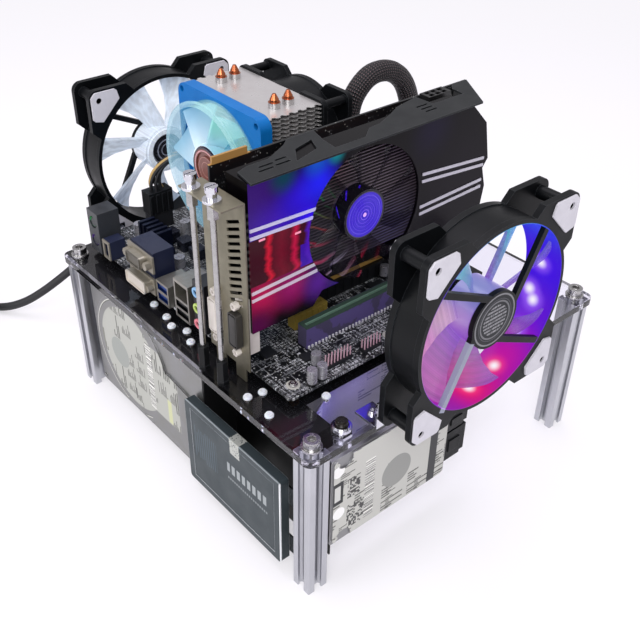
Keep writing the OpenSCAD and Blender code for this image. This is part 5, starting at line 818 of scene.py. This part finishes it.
def block(low, high, mesh, bevel):
    """A block between two corners, its edges cut back."""
    middle = [(a + b) / 2 * MM for a, b in zip(low, high)]
    size = [(b - a) * MM for a, b in zip(low, high)]
    made = bmesh.ops.create_cube(mesh, size=1.0, matrix=Matrix.Translation(middle) @ Matrix.Diagonal((*size, 1)))
    edges = {edge for corner in made["verts"] for edge in corner.link_edges}
    bmesh.ops.bevel(mesh, geom=list(edges), offset=bevel * MM, segments=2, affect="EDGES", profile=0.6)


def blocks(name, boxes, material, bevel):
    mesh = bmesh.new()
    for low, high in boxes:
        block(low, high, mesh, bevel)
    data = bpy.data.meshes.new(name)
    mesh.to_mesh(data)
    return add_piece(name, data, material)


def lay_bundle():
    """The sleeved bundle and its plug stand for the part's own tube."""
    path = smooth(BUNDLE_ROUTE, 5)
    bundle = tube("power_bundle", path, BUNDLE_D / 2, braid.material, sides=20)
    # The plug has a row of moulded ribs, one to each pair of pins
    atx = [((59.2, 2.2, BOARD_TOP + 13), (68.8, 53.8, BOARD_TOP + 27))]
    atx += [((58.7, 3.6 + 4.2 * i, BOARD_TOP + 13.5), (69.3, 6.2 + 4.2 * i, BOARD_TOP + 25.4)) for i in range(12)]
    plug = blocks("board_power_plug", atx, black_plastic.material, 0.4)
    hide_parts("power_cables")


lay_bundle()


def lay_processor_lead():
    """Six loose wires, black and yellow, rise from the processor's plug and turn behind the cooler into the slot."""
    middle = [(-57, 121, 152.5), (-58, 121, 160), (-55, 120.5, 168), (-47, 119, 174.5), (-37, 117, 177), (-22, 114, 174),
              (0, 108, 164), (25, 97, 152), (50, 84, 145), (74, 70, 142), (92, 58, 138), (104, 48, 130), (109, 41, 119),
              (109.5, 38, 106), (106, 32, 92), (96, 20, 82), (80, 8, 80), (62, 0, 82), (47, -4.5, 84), (38, -4.5, 84.5),
              (33, -1.5, 84.5)]
    path = smooth(middle, 4)
    strands = []
    for i, (turn, finish) in enumerate(((0, wire_tan), (60, wire_black), (120, wire_tan), (180, wire_black),
                                        (240, wire_black), (300, wire_black))):
        points = []
        for k, point in enumerate(path):
            share = k / (len(path) - 1)
            angle = math.radians(turn + 70 * math.sin(share * 5))
            wide = 2.5 + 2.4 * math.exp(-share * 14)
            points.append(point + Vector((math.cos(angle) * wide, math.sin(angle) * wide * 0.8, math.sin(angle + 1) * 0.6)))
        strands.append(tube(f"processor_wire_{i + 1}", points, 1.3, finish.material, sides=8))
    cpu = [((-67, 115.5, BOARD_TOP + 13), (-47, 126.5, BOARD_TOP + 31))]
    cpu += [((-66.2 + 4.9 * i, 115.1, BOARD_TOP + 13.5), (-63.2 + 4.9 * i, 126.9, BOARD_TOP + 29)) for i in range(4)]
    lead, rest = strands[0], strands[1:] + [blocks("processor_power_plug", cpu, black_plastic.material, 0.4)]


lay_processor_lead()

# Painted shade: black sheets under the deck's left side and an upright black wall behind the small drive
SHADE_SHEET_LOW, SHADE_SHEET_HIGH = 109.97, 110.03
blocks("deck_shade_sheet", [((-125.5, -124, SHADE_SHEET_LOW), (-97, 146, SHADE_SHEET_HIGH)), ((-97.2, -101, SHADE_SHEET_LOW), (74, 139, SHADE_SHEET_HIGH))],
       shade_sheet_paint.material, 0.01)
blocks("shade_sheet_wall", [((-98.4, -126, 3), (-97.2, -28, SHADE_SHEET_LOW)), ((-122, -28.6, 8), (-97.4, -27.6, SHADE_SHEET_LOW))],
       shade_sheet_paint.material, 0.3)


FLOOR_SIZE = 20.0


def make_stage():
    """A pale floor that keeps the object's shadow; its whiteness is in its own colour."""
    mesh = bpy.data.meshes.new("floor")
    half = FLOOR_SIZE / 2
    mesh.from_pydata([(-half, -half, 0), (half, -half, 0), (half, half, 0), (-half, half, 0)], [], [(0, 1, 2, 3)])
    floor = bpy.data.objects.new("floor", mesh)
    bpy.context.scene.collection.objects.link(floor)
    material = bpy.data.materials.new("white_paper_floor")
    material.use_nodes = True
    tree = material.node_tree
    shader = tree.nodes["Principled BSDF"]
    shader.inputs["Base Color"].default_value = colour("f6f4f8")
    shader.inputs["Roughness"].default_value = 0.7
    paths = add(tree, "LightPath").outputs
    seen = add(tree, "Math", {0: paths["Is Camera Ray"], 1: paths["Is Glossy Ray"]}, operation="MAXIMUM").outputs[0]
    seen = add(tree, "Math", {0: seen, 1: paths["Is Transmission Ray"]}, operation="MAXIMUM").outputs[0]
    spot = add(tree, "TexCoord").outputs["Object"]
    far = add(tree, "VectorMath", {0: spot}, operation="LENGTH").outputs["Value"]
    pale = add(tree, "MapRange", {0: far, 1: 0.6, 2: 1.8, 3: 0.55, 4: 1.0}).outputs[0]
    half_seen = add(tree, "Math", {0: seen, 1: pale}, operation="MULTIPLY").outputs[0]
    white = add(tree, "Emission", {"Color": colour("fbf9fd"), "Strength": 1.0}).outputs[0]
    both = add(tree, "MixShader", {0: half_seen, 1: shader.outputs[0], 2: white}).outputs[0]
    tree.links.new(both, tree.nodes["Material Output"].inputs["Surface"])
    mesh.materials.append(material)


def make_light():
    world = bpy.data.worlds.new("studio")
    bpy.context.scene.world = world
    world.use_nodes = True
    tree = world.node_tree
    shader = tree.nodes["Background"]
    paths = add(tree, "LightPath").outputs
    seen = add(tree, "Math", {0: paths["Is Camera Ray"], 1: paths["Is Transmission Ray"]}, operation="MAXIMUM").outputs[0]
    level = add(tree, "MapRange", {0: seen, 3: 0.62, 4: 1.0}).outputs[0]
    tree.links.new(level, shader.inputs["Strength"])
    shader.inputs["Color"].default_value = colour("fbf9fd")
    for name, place, size, power, code in (
        ("key", (-0.9, -0.9, 1.3), 0.9, 16, "ffffff"),
        ("top", (0.1, 0.2, 1.6), 1.2, 14, "fbf6ff"),
        ("left", (-1.5, 0.3, 0.7), 0.8, 8, "ffffff"),
    ):
        data = bpy.data.lights.new(name, "AREA")
        data.size = size
        data.energy = power
        data.color = colour(code)[:3]
        lamp = bpy.data.objects.new(name, data)
        lamp.location = place
        lamp.rotation_euler = (Vector(place) - Vector((0, 0, 0.12))).to_track_quat("Z", "Y").to_euler()
        bpy.context.scene.collection.objects.link(lamp)


make_stage()
make_light()
bpy.context.scene.view_settings.view_transform = "Standard"
